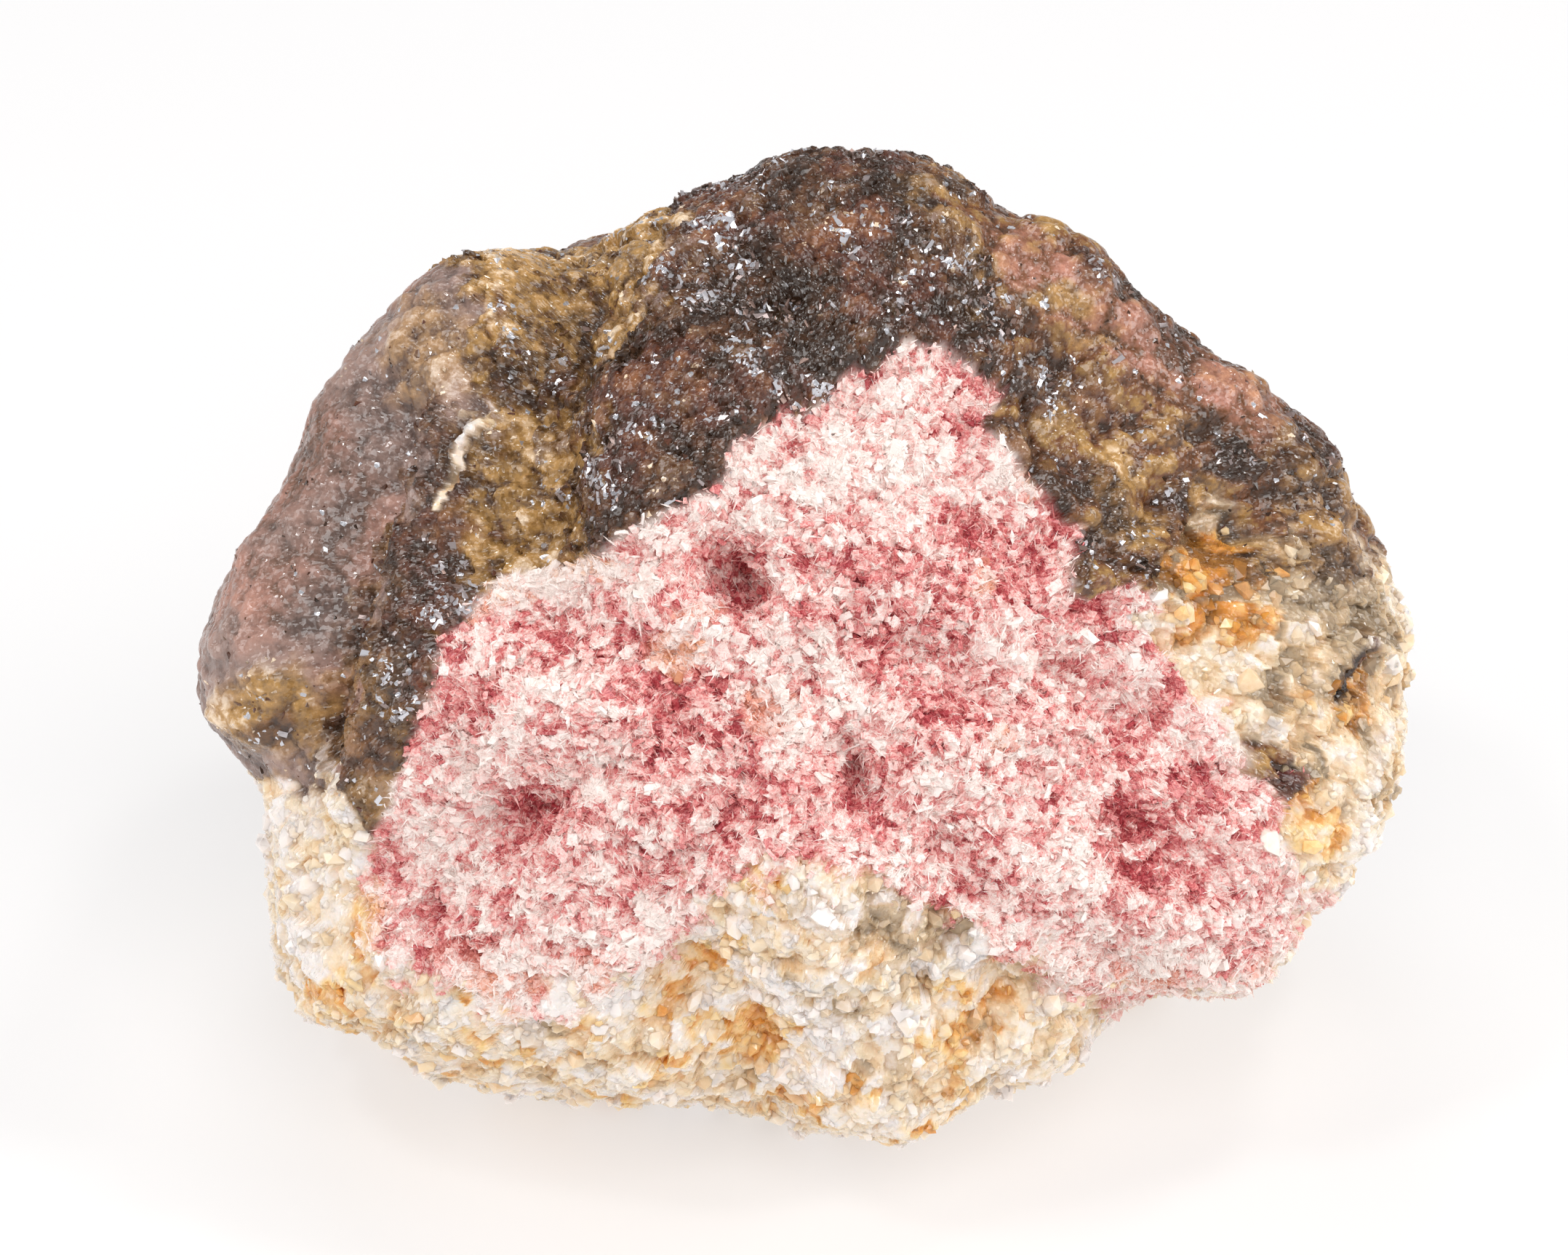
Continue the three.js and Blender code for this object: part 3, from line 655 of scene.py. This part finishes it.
def unit(vectors):
    return vectors / np.linalg.norm(vectors, axis=-1, keepdims=True)


def spread_sizes(rng, count, spread):
    """A size factor for each grain: e to the power of a normal number, held within two spreads of none."""
    return np.exp(np.clip(rng.normal(0, spread, (count, 1)), -2 * spread, 2 * spread))


def laid_flat(normals, tilt, rng, heading=None):
    """Matrices that lay a grain's third axis along each normal, tipped at random by about tilt.

    The first axis points as nearly along the heading as it can, or any way where there is none.
    """
    third = unit(normals + tilt * rng.normal(size=normals.shape))
    second = unit(np.cross(third, rng.normal(size=normals.shape) if heading is None else heading))
    return np.stack([np.cross(second, third), second, third], axis=-1)


def combed(places, wavelength, stray, rng):
    """Headings that neighbours share, so splinters lie in tufts: lumps on each axis, and a random stray."""
    shared = np.stack([lumps(places, wavelength, 101 + n) for n in range(3)], axis=-1)
    return shared + stray * rng.normal(size=places.shape)


def hull_faces(corners, edge):
    """Outward triangles between every three corners of a regular solid that lie an edge apart."""
    faces = []
    for i, j, k in combinations(range(len(corners)), 3):
        trio = corners[[i, j, k]]
        if all(abs(np.linalg.norm(trio[n] - trio[n - 1]) - edge) < 0.01 for n in range(3)):
            faces.append((i, j, k) if np.linalg.det(trio) > 0 else (i, k, j))
    return np.array(faces)


def shard_shape():
    """A unit octahedron: six corners on the axes and eight outward faces."""
    corners = np.concatenate([np.eye(3), -np.eye(3)])
    return corners, hull_faces(corners, math.sqrt(2))


def pebble_shape():
    """A unit icosahedron: twelve corners, the turns of (0, 1, golden ratio), and twenty outward faces."""
    golden = (1 + math.sqrt(5)) / 2
    turns = product(range(3), (-1, 1), (-1, 1))
    corners = np.array([np.roll((0, a, b * golden), turn) for turn, a, b in turns])
    return corners / math.hypot(1, golden), hull_faces(corners, 2)


def block_shape():
    """A unit block: eight corners and twelve outward triangles."""
    corners = np.array([(x, y, z) for z, y, x in product((-1, 1), repeat=3)], float)
    quads = np.array([(0, 2, 3, 1), (4, 5, 7, 6), (0, 1, 5, 4), (2, 6, 7, 3), (0, 4, 6, 2), (1, 3, 7, 5)])
    return corners, np.concatenate([quads[:, [0, 1, 2]], quads[:, [0, 2, 3]]])


def grains(name, shape, places, sizes, turns, rng, roughen, values):
    """Many small closed solids in one mesh: place + turn * (size * (corner + a random nudge)).

    sizes holds three half sizes per grain and turns a matrix per grain; values holds one number per grain.
    """
    corners, faces = shape
    nudged = corners + rng.uniform(-roughen, roughen, (len(places), *corners.shape))
    points = places[:, None] + np.einsum("gij,gvj->gvi", turns, nudged * sizes[:, None])
    points[..., 2] = np.maximum(points[..., 2], 0)
    every = (faces[None] + len(corners) * np.arange(len(places))[:, None, None]).reshape(-1, faces.shape[1])
    spread = {key: np.repeat(value, len(corners)) for key, value in values.items()}
    return make_mesh(name, points.reshape(-1, 3), every, spread)


# ---- Materials ----

THREADS = (0.2, 2, 0.65, 1.5)  # size, detail, roughness and swirl of the noise in the rose rock
FACE_SIZE = 0.17  # of the crust's tiny tipped faces, in millimetres
FLAT_TILT, DULL_TILT = 0.8, 0.4  # how far those faces tip on bright crust and on dull crust
PAINTED_GLINT_SHARE = 0.09  # how many of them are painted glints, pale flecks that are partly metallic, where the sparkle is 1
SKIN_GLOW, PEBBLE_GLOW = 0.8, 0.35  # how far light spreads under the quartz, in millimetres


class Nodes:
    """A few words for building a node tree: each call adds a node and returns the socket to link on."""

    def __init__(self, name):
        self.material = bpy.data.materials.new(name)
        self.material.use_nodes = True
        self.tree = self.material.node_tree
        self.shader = self.tree.nodes["Principled BSDF"]
        self.place = self.tree.nodes.new("ShaderNodeTexCoord").outputs["Object"]

    def add(self, kind, inputs=(), **traits):
        node = self.tree.nodes.new(kind)
        for key, value in traits.items():
            setattr(node, key, value)
        for key, value in dict(inputs).items():
            self.put(node.inputs[key], value)
        return node

    def put(self, socket, value):
        if isinstance(value, bpy.types.NodeSocket):
            self.tree.links.new(value, socket)
        elif socket.type == "RGBA" and len(value) == 3:
            socket.default_value = (*value, 1)
        else:
            socket.default_value = value

    def set(self, **values):
        for key, value in values.items():
            self.put(self.shader.inputs[key.replace("_", " ")], value)

    def attribute(self, name):
        return self.add("ShaderNodeAttribute", attribute_name=name).outputs["Fac"]

    def noise(self, size, detail=3.0, roughness=0.6, swirl=0.0):
        """Noise from 0 to 1 whose lumps are about size millimetres wide, drawn into threads by the swirl."""
        inputs = {"Vector": self.place, "Scale": 1 / (size * MM), "Detail": detail, "Roughness": roughness,
                  "Distortion": swirl}
        return self.add("ShaderNodeTexNoise", inputs).outputs["Fac"]

    def cells(self, size):
        """Cells about size millimetres wide, each with a random colour."""
        inputs = {"Vector": self.place, "Scale": 1 / (size * MM)}
        return self.add("ShaderNodeTexVoronoi", inputs).outputs["Color"]

    def vector(self, operation, inputs):
        return self.add("ShaderNodeVectorMath", inputs, operation=operation).outputs[0]

    def facets(self, cells, tilt):
        """Normals for tiny flat faces: each cell's colour, less a half, tips its normal by up to tilt."""
        swing = self.vector("SUBTRACT", {0: cells, 1: (0.5, 0.5, 0.5)})
        tip = self.vector("SCALE", {0: swing, "Scale": tilt})
        facing = self.add("ShaderNodeNewGeometry").outputs["Normal"]
        return self.vector("NORMALIZE", {0: self.vector("ADD", {0: facing, 1: tip})})

    def math(self, operation, first, *others):
        """The operation done on the first two values, then on the outcome and the next, and so on."""
        total = first
        for value in others:
            total = self.add("ShaderNodeMath", {0: total, 1: value}, operation=operation).outputs[0]
        return total

    def blend(self, **parts):
        """A sum of parts: each is a (socket, share) pair, and one that swings about a half adds nothing."""
        total = 0.5
        for socket, share in parts.values():
            total = self.math("ADD", total, self.math("MULTIPLY", self.math("SUBTRACT", socket, 0.5), share))
        return total

    def between(self, value, low, high, start=0.0, end=1.0):
        """value carried from low..high to start..end, and held at the ends."""
        inputs = {"Value": value, "From Min": low, "From Max": high, "To Min": start, "To Max": end}
        return self.add("ShaderNodeMapRange", inputs).outputs["Result"]

    def mix(self, share, first, second):
        node = self.add("ShaderNodeMix", data_type="RGBA")
        for socket, value in zip((node.inputs[0], node.inputs[6], node.inputs[7]), (share, first, second)):
            self.put(socket, value)
        return node.outputs[2]

    def ramp(self, value, *stops):
        """A colour ramp through (position, colour) stops."""
        node = self.add("ShaderNodeValToRGB", {"Fac": value})
        band = node.color_ramp.elements
        while len(band) < len(stops):
            band.new(0.5)
        for element, (position, tint) in zip(band, stops):
            element.position = position
            element.color = (*tint, 1)
        return node.outputs["Color"]


def shade(tint, factor):
    return tuple(min(1.0, channel * factor) for channel in tint)


def rose_colours(n, tints, tone, thread):
    """Rose rock from crimson to frosted white, by its tone and fine threads, stained honey in places."""
    value = n.blend(tone=(tone, 1.0), thread=(thread, 1.05))
    rose = n.ramp(value, (0.04, tints.crimson), (0.28, tints.rose), (0.5, tints.blush), (0.8, tints.frost))
    stained = n.ramp(value, (0.2, tints.honey), (0.7, tints.frost))
    return n.mix(n.math("MULTIPLY", n.attribute("honey"), 0.8), rose, stained)


def quartz_colours(n, tints, tone, cloud):
    """Milky quartz, painted a darker warm shade in its hollows, with grey grains and grains stained honey to
    amber by zone.
    """
    value = n.blend(tone=(tone, 1.0), cloud=(cloud, 0.45))
    # the milk runs from painted shade in low places to frost on high ones, with each grain's own tone
    milk = n.ramp(value, (0.0, shade(tints.hollow_shade, 0.6)), (0.22, tints.hollow_shade), (0.44, tints.quartz),
                  (0.76, tints.frost))
    grey = n.ramp(value, (0.1, shade(tints.smoke, 0.55)), (0.45, tints.smoke), (0.8, tints.frost))
    stain = n.ramp(value, (0.02, shade(tints.amber, 0.4)), (0.24, tints.amber), (0.54, tints.honey),
                   (0.92, tints.frost))
    return n.mix(n.attribute("honey"), n.mix(n.attribute("smoke"), milk, grey), stain)


def skin_material(tints):
    """The skin: quartz, with umber, mauve, rust, ochre and dark crust and rose rock over it by zone.

    Each kind is a ramp of its own colours, driven by the surface's tone and noise. Tiny tipped facets give
    the crust its real glints, and some of them, most where the sparkle is, are painted glints: flecks
    painted pale blue-grey and made partly metallic.
    """
    n = Nodes("stone_skin")
    speck, grain, thread = n.noise(0.14, 1, 0.6), n.noise(0.45, 3, 0.6), n.noise(*THREADS)
    tone, dark, rose, crust = (n.attribute(zone) for zone in ("tone", "dark", "rose", "crust"))
    faces = n.cells(FACE_SIZE)
    lit = n.blend(tone=(tone, 0.9), grain=(grain, 1.0), speck=(speck, 0.3))
    dark_rust, pale_ochre = shade(tints.rust, 0.55), shade(tints.ochre, 1.6)

    base = quartz_colours(n, tints, tone, grain)
    for zone, *stops in (
        ("crust", (0.15, tints.crust), (0.4, tints.umber), (0.6, tints.ochre), (0.85, pale_ochre)),
        ("mauve", (0.15, shade(tints.mauve, 0.5)), (0.5, tints.mauve), (0.9, shade(tints.mauve, 1.5))),
        ("rust", (0.15, tints.crust), (0.35, dark_rust), (0.52, tints.rust), (0.72, tints.ochre),
         (1.0, pale_ochre)),
        ("rosy", (0.1, dark_rust), (0.3, tints.rust), (0.55, tints.rosy), (0.9, shade(tints.rosy, 1.6))),
        ("ochre", (0.1, tints.crust), (0.3, tints.umber), (0.5, tints.ochre), (0.75, pale_ochre),
         (1.0, tints.quartz)),
        ("dark", (0.2, shade(tints.crust, 0.5)), (0.5, tints.crust), (0.7, dark_rust), (0.86, tints.umber),
         (1.0, tints.mauve)),
    ):
        base = n.mix(n.attribute(zone), base, n.ramp(lit, *stops))
    maroon = n.ramp(lit, (0.2, shade(tints.crust, 0.7)), (0.6, tints.maroon), (1.0, shade(tints.rust, 1.3)))
    base = n.mix(n.math("MULTIPLY", dark, n.attribute("maroon")), base, maroon)
    base = n.mix(rose, base, rose_colours(n, tints, tone, thread))

    bare = n.math("MULTIPLY", crust, n.math("SUBTRACT", 1.0, rose))
    # Painted glints: a share of the tiny faces, most on dark crust where the sparkle is, take the pale flake
    # colour and a part-metallic finish, standing in for light glinting off crystal faces
    glittering = n.math("MAXIMUM", dark, n.math("MULTIPLY", n.attribute("ochre"), 0.7))
    likely = n.between(glittering, 0.0, 1.0, 0.25, 1.0)
    chance = n.math("MULTIPLY", n.attribute("sparkle"), PAINTED_GLINT_SHARE, likely, bare)
    own_number = n.add("ShaderNodeSeparateColor", {0: faces}).outputs[1]
    painted_glint = n.math("GREATER_THAN", n.math("ADD", own_number, chance), 1.0)
    dull = n.math("MAXIMUM", n.attribute("mauve"), n.attribute("rust"))
    quartz = n.math("SUBTRACT", 1.0, crust, rose)
    n.set(Base_Color=n.mix(painted_glint, base, tints.glint_flake), Metallic=n.math("MULTIPLY", painted_glint, 0.6),
          Roughness=n.between(speck, 0.35, 0.65, 0.08, 0.3), Specular_IOR_Level=0.65,
          Normal=n.facets(faces, n.between(dull, 0.0, 1.0, FLAT_TILT, DULL_TILT)),
          Subsurface_Weight=n.between(quartz, 0.0, 1.0, 0.0, 0.6), Subsurface_Radius=(1.0, 0.85, 0.7),
          Subsurface_Scale=SKIN_GLOW * MM)
    return n.material


def rose_material(tints):
    """Rose grains with a waxy gloss."""
    n = Nodes("rose_grain")
    thread = n.noise(*THREADS)
    base = rose_colours(n, tints, n.attribute("tone"), thread)
    n.set(Base_Color=base, Roughness=n.between(thread, 0.35, 0.65, 0.2, 0.5))
    return n.material


def quartz_material(tints):
    """Quartz grains: milky, lit a little way in, and glossy, some grey and some stained honey to amber."""
    n = Nodes("quartz_grain")
    grain = n.noise(0.4, 3, 0.65)
    base = quartz_colours(n, tints, n.attribute("tone"), grain)
    n.set(Base_Color=base, Roughness=0.15, IOR=1.54, Subsurface_Weight=0.5, Subsurface_Radius=(1.0, 1.0, 1.0),
          Subsurface_Scale=PEBBLE_GLOW * MM)
    return n.material


def crust_material(tints):
    """Crust grains: small glossy faces from near-black through rust to pale ochre, by each grain's tone."""
    n = Nodes("crust_grain")
    value = n.blend(tone=(n.attribute("tone"), 1.0), speck=(n.noise(0.12, 2), 0.4))
    base = n.ramp(value, (0.1, shade(tints.crust, 0.6)), (0.45, tints.crust), (0.62, tints.maroon),
                  (0.78, tints.umber), (1.0, tints.quartz))
    n.set(Base_Color=base, Roughness=0.15, Specular_IOR_Level=0.6)
    return n.material


def glint_flake_material(tints):
    """Bright flakes: pale blue-grey metal-like faces, painted pale as glints besides their part-metallic
    reflection.
    """
    n = Nodes("crust_glint_flake")
    n.set(Base_Color=n.ramp(n.attribute("tone"), (0.3, tints.mauve), (0.7, tints.glint_flake)), Metallic=0.45,
          Roughness=0.2)
    return n.material


# ---- Settings, operators and panel ----


def number_of(name, words, default, most):
    return IntProperty(name=name, description="Number of " + words, default=default, min=1, max=most)


def width_of(name, words, default):
    words = f"Typical width of a {words}, in millimetres"
    return FloatProperty(name=name, description=words, default=default, min=0.1, max=2)


class RhodoniteSizes(PropertyGroup):
    steps: IntProperty(name="Skin steps", description="Steps along each edge of the skin's six panels",
                       default=300, min=16, max=310)
    relief: FloatProperty(name="Relief", description="Strength of the skin's fine relief", default=1.0,
                          min=0, max=2)
    rose_flakes: number_of("Rose flakes", "flat rose flakes", 12000, 16600)
    rose_splinters: number_of("Rose splinters", "short rose splinters", 24500, 24900)
    rose_threads: number_of("Rose threads", "long thin pale rose splinters", 24500, 24900)
    rose_size: width_of("Rose grain", "rose flake", 0.24)
    crust_grains: number_of("Crust grains", "glossy grains on the crust", 9000, 24900)
    # the bright crust flakes are painted pale, as glints
    crust_glint_flakes: number_of("Crust flakes", "bright flakes on the crust", 3600, 16600)
    quartz_grains: number_of("Quartz grains", "quartz grains", 6000, 9990)
    quartz_size: width_of("Quartz grain", "quartz grain", 0.5)


class RhodoniteColours(PropertyGroup):
    frost: colour("Frost", "Bruised white of the rose rock and quartz", 250, 238, 232)
    blush: colour("Blush", "Pale pink of most of the rose rock", 240, 194, 187)
    rose: colour("Rose", "Clear pink of the rose rock", 221, 129, 127)
    # Painted shade in part: low places and pits of the rose rock run to this deep red, a colour the rock also
    # has of its own
    crimson: colour("Crimson", "Deep red of the rose rock in pits", 172, 62, 70)
    crust: colour("Crust", "Near-black crust", 64, 42, 28)
    maroon: colour("Maroon crust", "Dark red-brown crust", 92, 54, 42)
    umber: colour("Umber crust", "Plain brown crust", 110, 80, 54)
    mauve: colour("Mauve crust", "Greyish purple crust", 134, 110, 101)
    rust: colour("Rusty crust", "Red-brown crust", 122, 78, 50)
    rosy: colour("Rosy crust", "Pinkish brown crust", 172, 118, 100)
    ochre: colour("Ochre crust", "Olive and ochre crust", 152, 116, 68)
    quartz: colour("Quartz", "Milky quartz", 247, 223, 193)
    # Painted shade: the warm darker colour of the quartz's low places
    hollow_shade: colour("Quartz hollow", "Warm shade in the hollows of the quartz", 228, 194, 152)
    smoke: colour("Smoky quartz", "Grey depths of the quartz", 206, 180, 148)
    honey: colour("Honey stain", "Light iron stain on the quartz", 250, 208, 146)
    amber: colour("Amber stain", "Strong iron stain on the quartz", 222, 148, 64)
    # Painted glint: this pale blue-grey, on flecks and flakes, stands for light glinting off tiny crystal
    # faces, besides their part-metallic reflection
    glint_flake: colour("Flake", "Pale blue-grey of the bright flakes", 214, 214, 220)
    floor: colour("Floor", "Pale floor", 246, 245, 245)


UNEVEN = (0.7, 1.3)  # the least and the most that a grain's sides may be of their plan
NUDGE = 0.3  # how far a grain's corners stray, as a share of its half size
_shared = {}  # the skin, which every layer of grains is set into


def settings(context):
    return context.scene.rhodonite_sizes, context.scene.rhodonite_colours


def finish_piece(piece, material):
    piece.data.materials.append(material)
    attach(piece, "root")


class RHODONITE_OT_skin(Operator):
    """Make the stone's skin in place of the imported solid, as six closed sectors that meet edge to edge"""

    bl_idname = "rhodonite.skin"
    bl_label = "Stone skin"

    def execute(self, context):
        sizes, tints = settings(context)
        skin = _shared["skin"] = Skin(sizes.steps, sizes.relief)
        material = skin_material(tints)
        for number, (name, *_) in enumerate(PANELS):
            values = {key: np.append(value[number].ravel(), 0) for key, value in skin.zones.items()}
            piece = make_mesh("stone_" + name, *skin.sector(number), values)
            finish_piece(piece, material)
            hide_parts(NODE)
        return {"FINISHED"}


class RHODONITE_OT_rose(Operator):
    """Set rose flakes and splinters into the broken face"""

    bl_idname = "rhodonite.rose"
    bl_label = "Rose grains"

    def execute(self, context):
        sizes, tints = settings(context)
        skin, material = _shared["skin"], rose_material(tints)
        rng = np.random.default_rng(11)
        for name, shape, number, slender, tilt, pale in (
            ("rose_flakes", block_shape(), sizes.rose_flakes, (1.0, 0.7, 0.3), 0.6, 0.0),
            ("rose_splinters", shard_shape(), sizes.rose_splinters, (1.3, 0.3, 0.2), 0.7, 0.05),
            ("rose_threads", shard_shape(), sizes.rose_threads, (2.0, 0.2, 0.15), 0.5, 0.15),
        ):
            places, normals, zones = skin.scatter(number, skin.zones["rose"] ** 2, rng)
            half = sizes.rose_size / 2 * spread_sizes(rng, number, 0.35) * slender
            half = half * rng.uniform(*UNEVEN, (number, 3))
            turns = laid_flat(normals, tilt, rng, combed(places, 1.3, 0.3, rng))
            tone = zones["tone"] + pale + 0.06 * rng.normal(size=number)
            values = {"tone": tone, "honey": zones["honey"]}
            piece = grains(name, shape, places, half, turns, rng, NUDGE, values)
            finish_piece(piece, material)
        return {"FINISHED"}


class RHODONITE_OT_crust(Operator):
    """Set glossy grains, and bright flakes painted pale as glints, into the crust"""

    bl_idname = "rhodonite.crust"
    bl_label = "Crust grains"

    def execute(self, context):
        sizes, tints = settings(context)
        skin = _shared["skin"]
        rng = np.random.default_rng(12)
        bare = skin.zones["crust"] * (1 - skin.zones["rose"])
        dark, golden = 0.15 + 0.85 * skin.zones["dark"], skin.zones["ochre"]
        lumpy = bare * np.maximum(dark, 0.6 * golden)
        # where the bright flakes go, which are painted pale as glints: thickest on dark crust where the
        # sparkle is
        bright = bare * np.maximum(dark, 0.4 * golden) ** 2 * skin.zones["sparkle"] ** 1.7
        for name, shape, number, slender, weight, make_material in (
            ("crust_grains", shard_shape(), sizes.crust_grains, (0.12, 0.09, 0.06), lumpy, crust_material),
            ("crust_glint_flakes", block_shape(), sizes.crust_glint_flakes, (0.1, 0.045, 0.02), bright, glint_flake_material),
        ):
            places, normals, zones = skin.scatter(number, weight, rng)
            half = spread_sizes(rng, number, 0.4) * slender * rng.uniform(*UNEVEN, (number, 3))
            tone = zones["tone"] + 0.25 * (rng.random(number) - 0.5)
            tone = tone + 0.25 * zones["ochre"] * (1 - zones["dark"])
            turns = laid_flat(normals, 0.3, rng, combed(places, 2.0, 0.4, rng))
            sunk = places - normals * 0.6 * half[:, 2:]
            piece = grains(name, shape, sunk, half, turns, rng, NUDGE, {"tone": tone})
            finish_piece(piece, make_material(tints))
        return {"FINISHED"}


class RHODONITE_OT_quartz(Operator):
    """Set milky, grey and stained pebbles into the quartz"""

    bl_idname = "rhodonite.quartz"
    bl_label = "Quartz grains"

    def execute(self, context):
        sizes, tints = settings(context)
        skin, number = _shared["skin"], sizes.quartz_grains
        rng = np.random.default_rng(13)
        covered = np.maximum(skin.zones["crust"], skin.zones["chip"])
        open_quartz = (1 - covered) ** 6 * (1 - skin.zones["rose"]) ** 2
        places, normals, zones = skin.scatter(number, open_quartz, rng)
        half = sizes.quartz_size / 2 * spread_sizes(rng, number, 0.4) * rng.uniform(0.6, 1.2, (number, 3))
        values = {name: zones[name] for name in ("tone", "honey", "smoke")}
        values["tone"] = values["tone"] + 0.08 * rng.normal(size=number)
        turns = laid_flat(normals, 0.6, rng)
        sunk = places - normals * 0.75 * half.min(axis=1)[:, None]
        piece = grains("quartz_grains", pebble_shape(), sunk, half, turns, rng, 0.2, values)
        finish_piece(piece, quartz_material(tints))
        return {"FINISHED"}


# ---- The stage ----

CAMERA_LENS, CAMERA_SENSOR = 160.0, 36.0
CAMERA_AIM = (-1.04, 0.45)  # across and up the face from the heart
FLOOR_RADIUS, WALL_RISE, FLOOR_DROP = 900.0, 260.0, 0.02  # the floor lies a hair below the stone's foot
FLAT_RINGS, WALL_RINGS, FLOOR_SIDES = 3, 11, 64
FLOOR_SHADE = 0.47  # of the floor's colour, for the light that falls on it
FLOOR_GLOW = 0.55  # of white: a lit table, which leaves hardly a shadow
WORLD_LIGHT = 0.3
LIGHTS = {  # place, target, side and power of each square lamp
    "light_front": ((40, -220, 260), (0, 0, 12), 180, 0.42),
    "light_left": ((-270, -60, 170), (0, 0, 12), 170, 0.29),
    "light_right": ((270, -40, 170), (0, 0, 12), 170, 0.41),
    "light_behind": ((-40, 140, 300), (0, 0, 16), 130, 0.2),
    "light_glint": ((120, 20, 300), (0, 0, 16), 40, 0.12),
    "light_spark": ((-120, -90, 290), (0, 0, 16), 40, 0.11),
}


def softbox(name, place, target, side, power):
    """A square area light at place, turned to target, both in millimetres."""
    light = bpy.data.lights.new(name, "AREA")
    light.size, light.energy = side * MM, power
    lamp = bpy.data.objects.new(name, light)
    bpy.context.scene.collection.objects.link(lamp)
    start, end = (Vector(p) * MM for p in (place, target))
    lamp.location = start
    lamp.rotation_mode = "QUATERNION"
    lamp.rotation_quaternion = (end - start).to_track_quat("-Z", "Y")


def make_camera(scene):
    """A camera out in front of the broken face, level from side to side."""
    lens = bpy.data.cameras.new("camera")
    lens.lens, lens.sensor_width, lens.clip_start, lens.clip_end = CAMERA_LENS, CAMERA_SENSOR, 0.01, 20
    camera = scene.camera = bpy.data.objects.new("camera", lens)
    scene.collection.objects.link(camera)
    aim = HEART + ACROSS * CAMERA_AIM[0] + UP_FACE * CAMERA_AIM[1]
    camera.location = (aim + OUT * SIGHT_DISTANCE) * MM
    camera.rotation_euler = (math.pi / 2 - FACE_LEAN, 0, 0)


def make_floor(tint):
    """A round floor whose rim rises to a wall, as the square of the way out from where it starts to climb."""
    climb = np.linspace(0, 1, WALL_RINGS)
    flat = np.arange(FLAT_RINGS) / FLAT_RINGS
    ring = np.append(flat * FLOOR_RADIUS, FLOOR_RADIUS + climb * WALL_RISE)
    rise = np.append(0 * flat, climb**2 * WALL_RISE)
    turn = np.arange(FLOOR_SIDES) / FLOOR_SIDES * 2 * np.pi
    height = np.repeat(rise[:, None], FLOOR_SIDES, axis=1) - FLOOR_DROP
    points = np.stack([ring[:, None] * np.cos(turn), ring[:, None] * np.sin(turn), height], axis=-1)
    row = np.arange(height.size).reshape(height.shape)
    after = np.roll(row, -1, axis=1)
    quads = np.stack([row[:-1], row[1:], after[1:], after[:-1]], axis=-1).reshape(-1, 4)
    floor = make_mesh("floor", points.reshape(-1, 3), quads, smooth=True)
    n = Nodes("floor")
    n.set(Base_Color=shade(tint, FLOOR_SHADE), Roughness=0.6, Emission_Color=tuple(tint),
          Emission_Strength=FLOOR_GLOW)
    floor.data.materials.append(n.material)
    return floor


class RHODONITE_OT_stage(Operator):
    """Make the camera, the pale floor and the soft lights"""

    bl_idname = "rhodonite.stage"
    bl_label = "Stage"

    def execute(self, context):
        scene = context.scene
        make_camera(scene)
        make_floor(settings(context)[1].floor)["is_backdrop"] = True
        for name, lamp in LIGHTS.items():
            softbox(name, *lamp)
        world = scene.world = bpy.data.worlds.new("world")
        world.use_nodes = True
        sky = world.node_tree.nodes["Background"].inputs
        sky["Color"].default_value = (1, 1, 1, 1)
        sky["Strength"].default_value = WORLD_LIGHT
        scene.view_settings.view_transform = "Standard"
        return {"FINISHED"}


# ---- Panel, registration and run ----


class RHODONITE_PT_panel(Panel):
    """The specimen's settings and steps"""

    bl_idname = "RHODONITE_PT_panel"
    bl_label = "Rhodonite specimen"
    bl_space_type = "VIEW_3D"
    bl_region_type = "UI"
    bl_category = "Rhodonite"

    def draw(self, context):
        for group in (context.scene.rhodonite_sizes, context.scene.rhodonite_colours):
            for key in group.__annotations__:
                self.layout.prop(group, key)
        for step in STEPS:
            self.layout.operator(step.bl_idname)


STEPS = (RHODONITE_OT_stage, RHODONITE_OT_skin, RHODONITE_OT_rose, RHODONITE_OT_crust, RHODONITE_OT_quartz)
CLASSES = (RhodoniteSizes, RhodoniteColours, *STEPS, RHODONITE_PT_panel)


def register():
    for cls in CLASSES:
        bpy.utils.register_class(cls)
    bpy.types.Scene.rhodonite_sizes = PointerProperty(type=RhodoniteSizes)
    bpy.types.Scene.rhodonite_colours = PointerProperty(type=RhodoniteColours)


def unregister():
    del bpy.types.Scene.rhodonite_colours
    del bpy.types.Scene.rhodonite_sizes
    for cls in reversed(CLASSES):
        bpy.utils.unregister_class(cls)


def main():
    register()
    bpy.ops.rhodonite.stage()
    bpy.ops.rhodonite.skin()
    bpy.ops.rhodonite.rose()
    bpy.ops.rhodonite.crust()
    bpy.ops.rhodonite.quartz()
    boxes = {"cad": CAD_BOX, "visual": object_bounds()}
    {key: [list(corner) for corner in box] for key, box in boxes.items()}


if __name__ == "__main__":
    main()
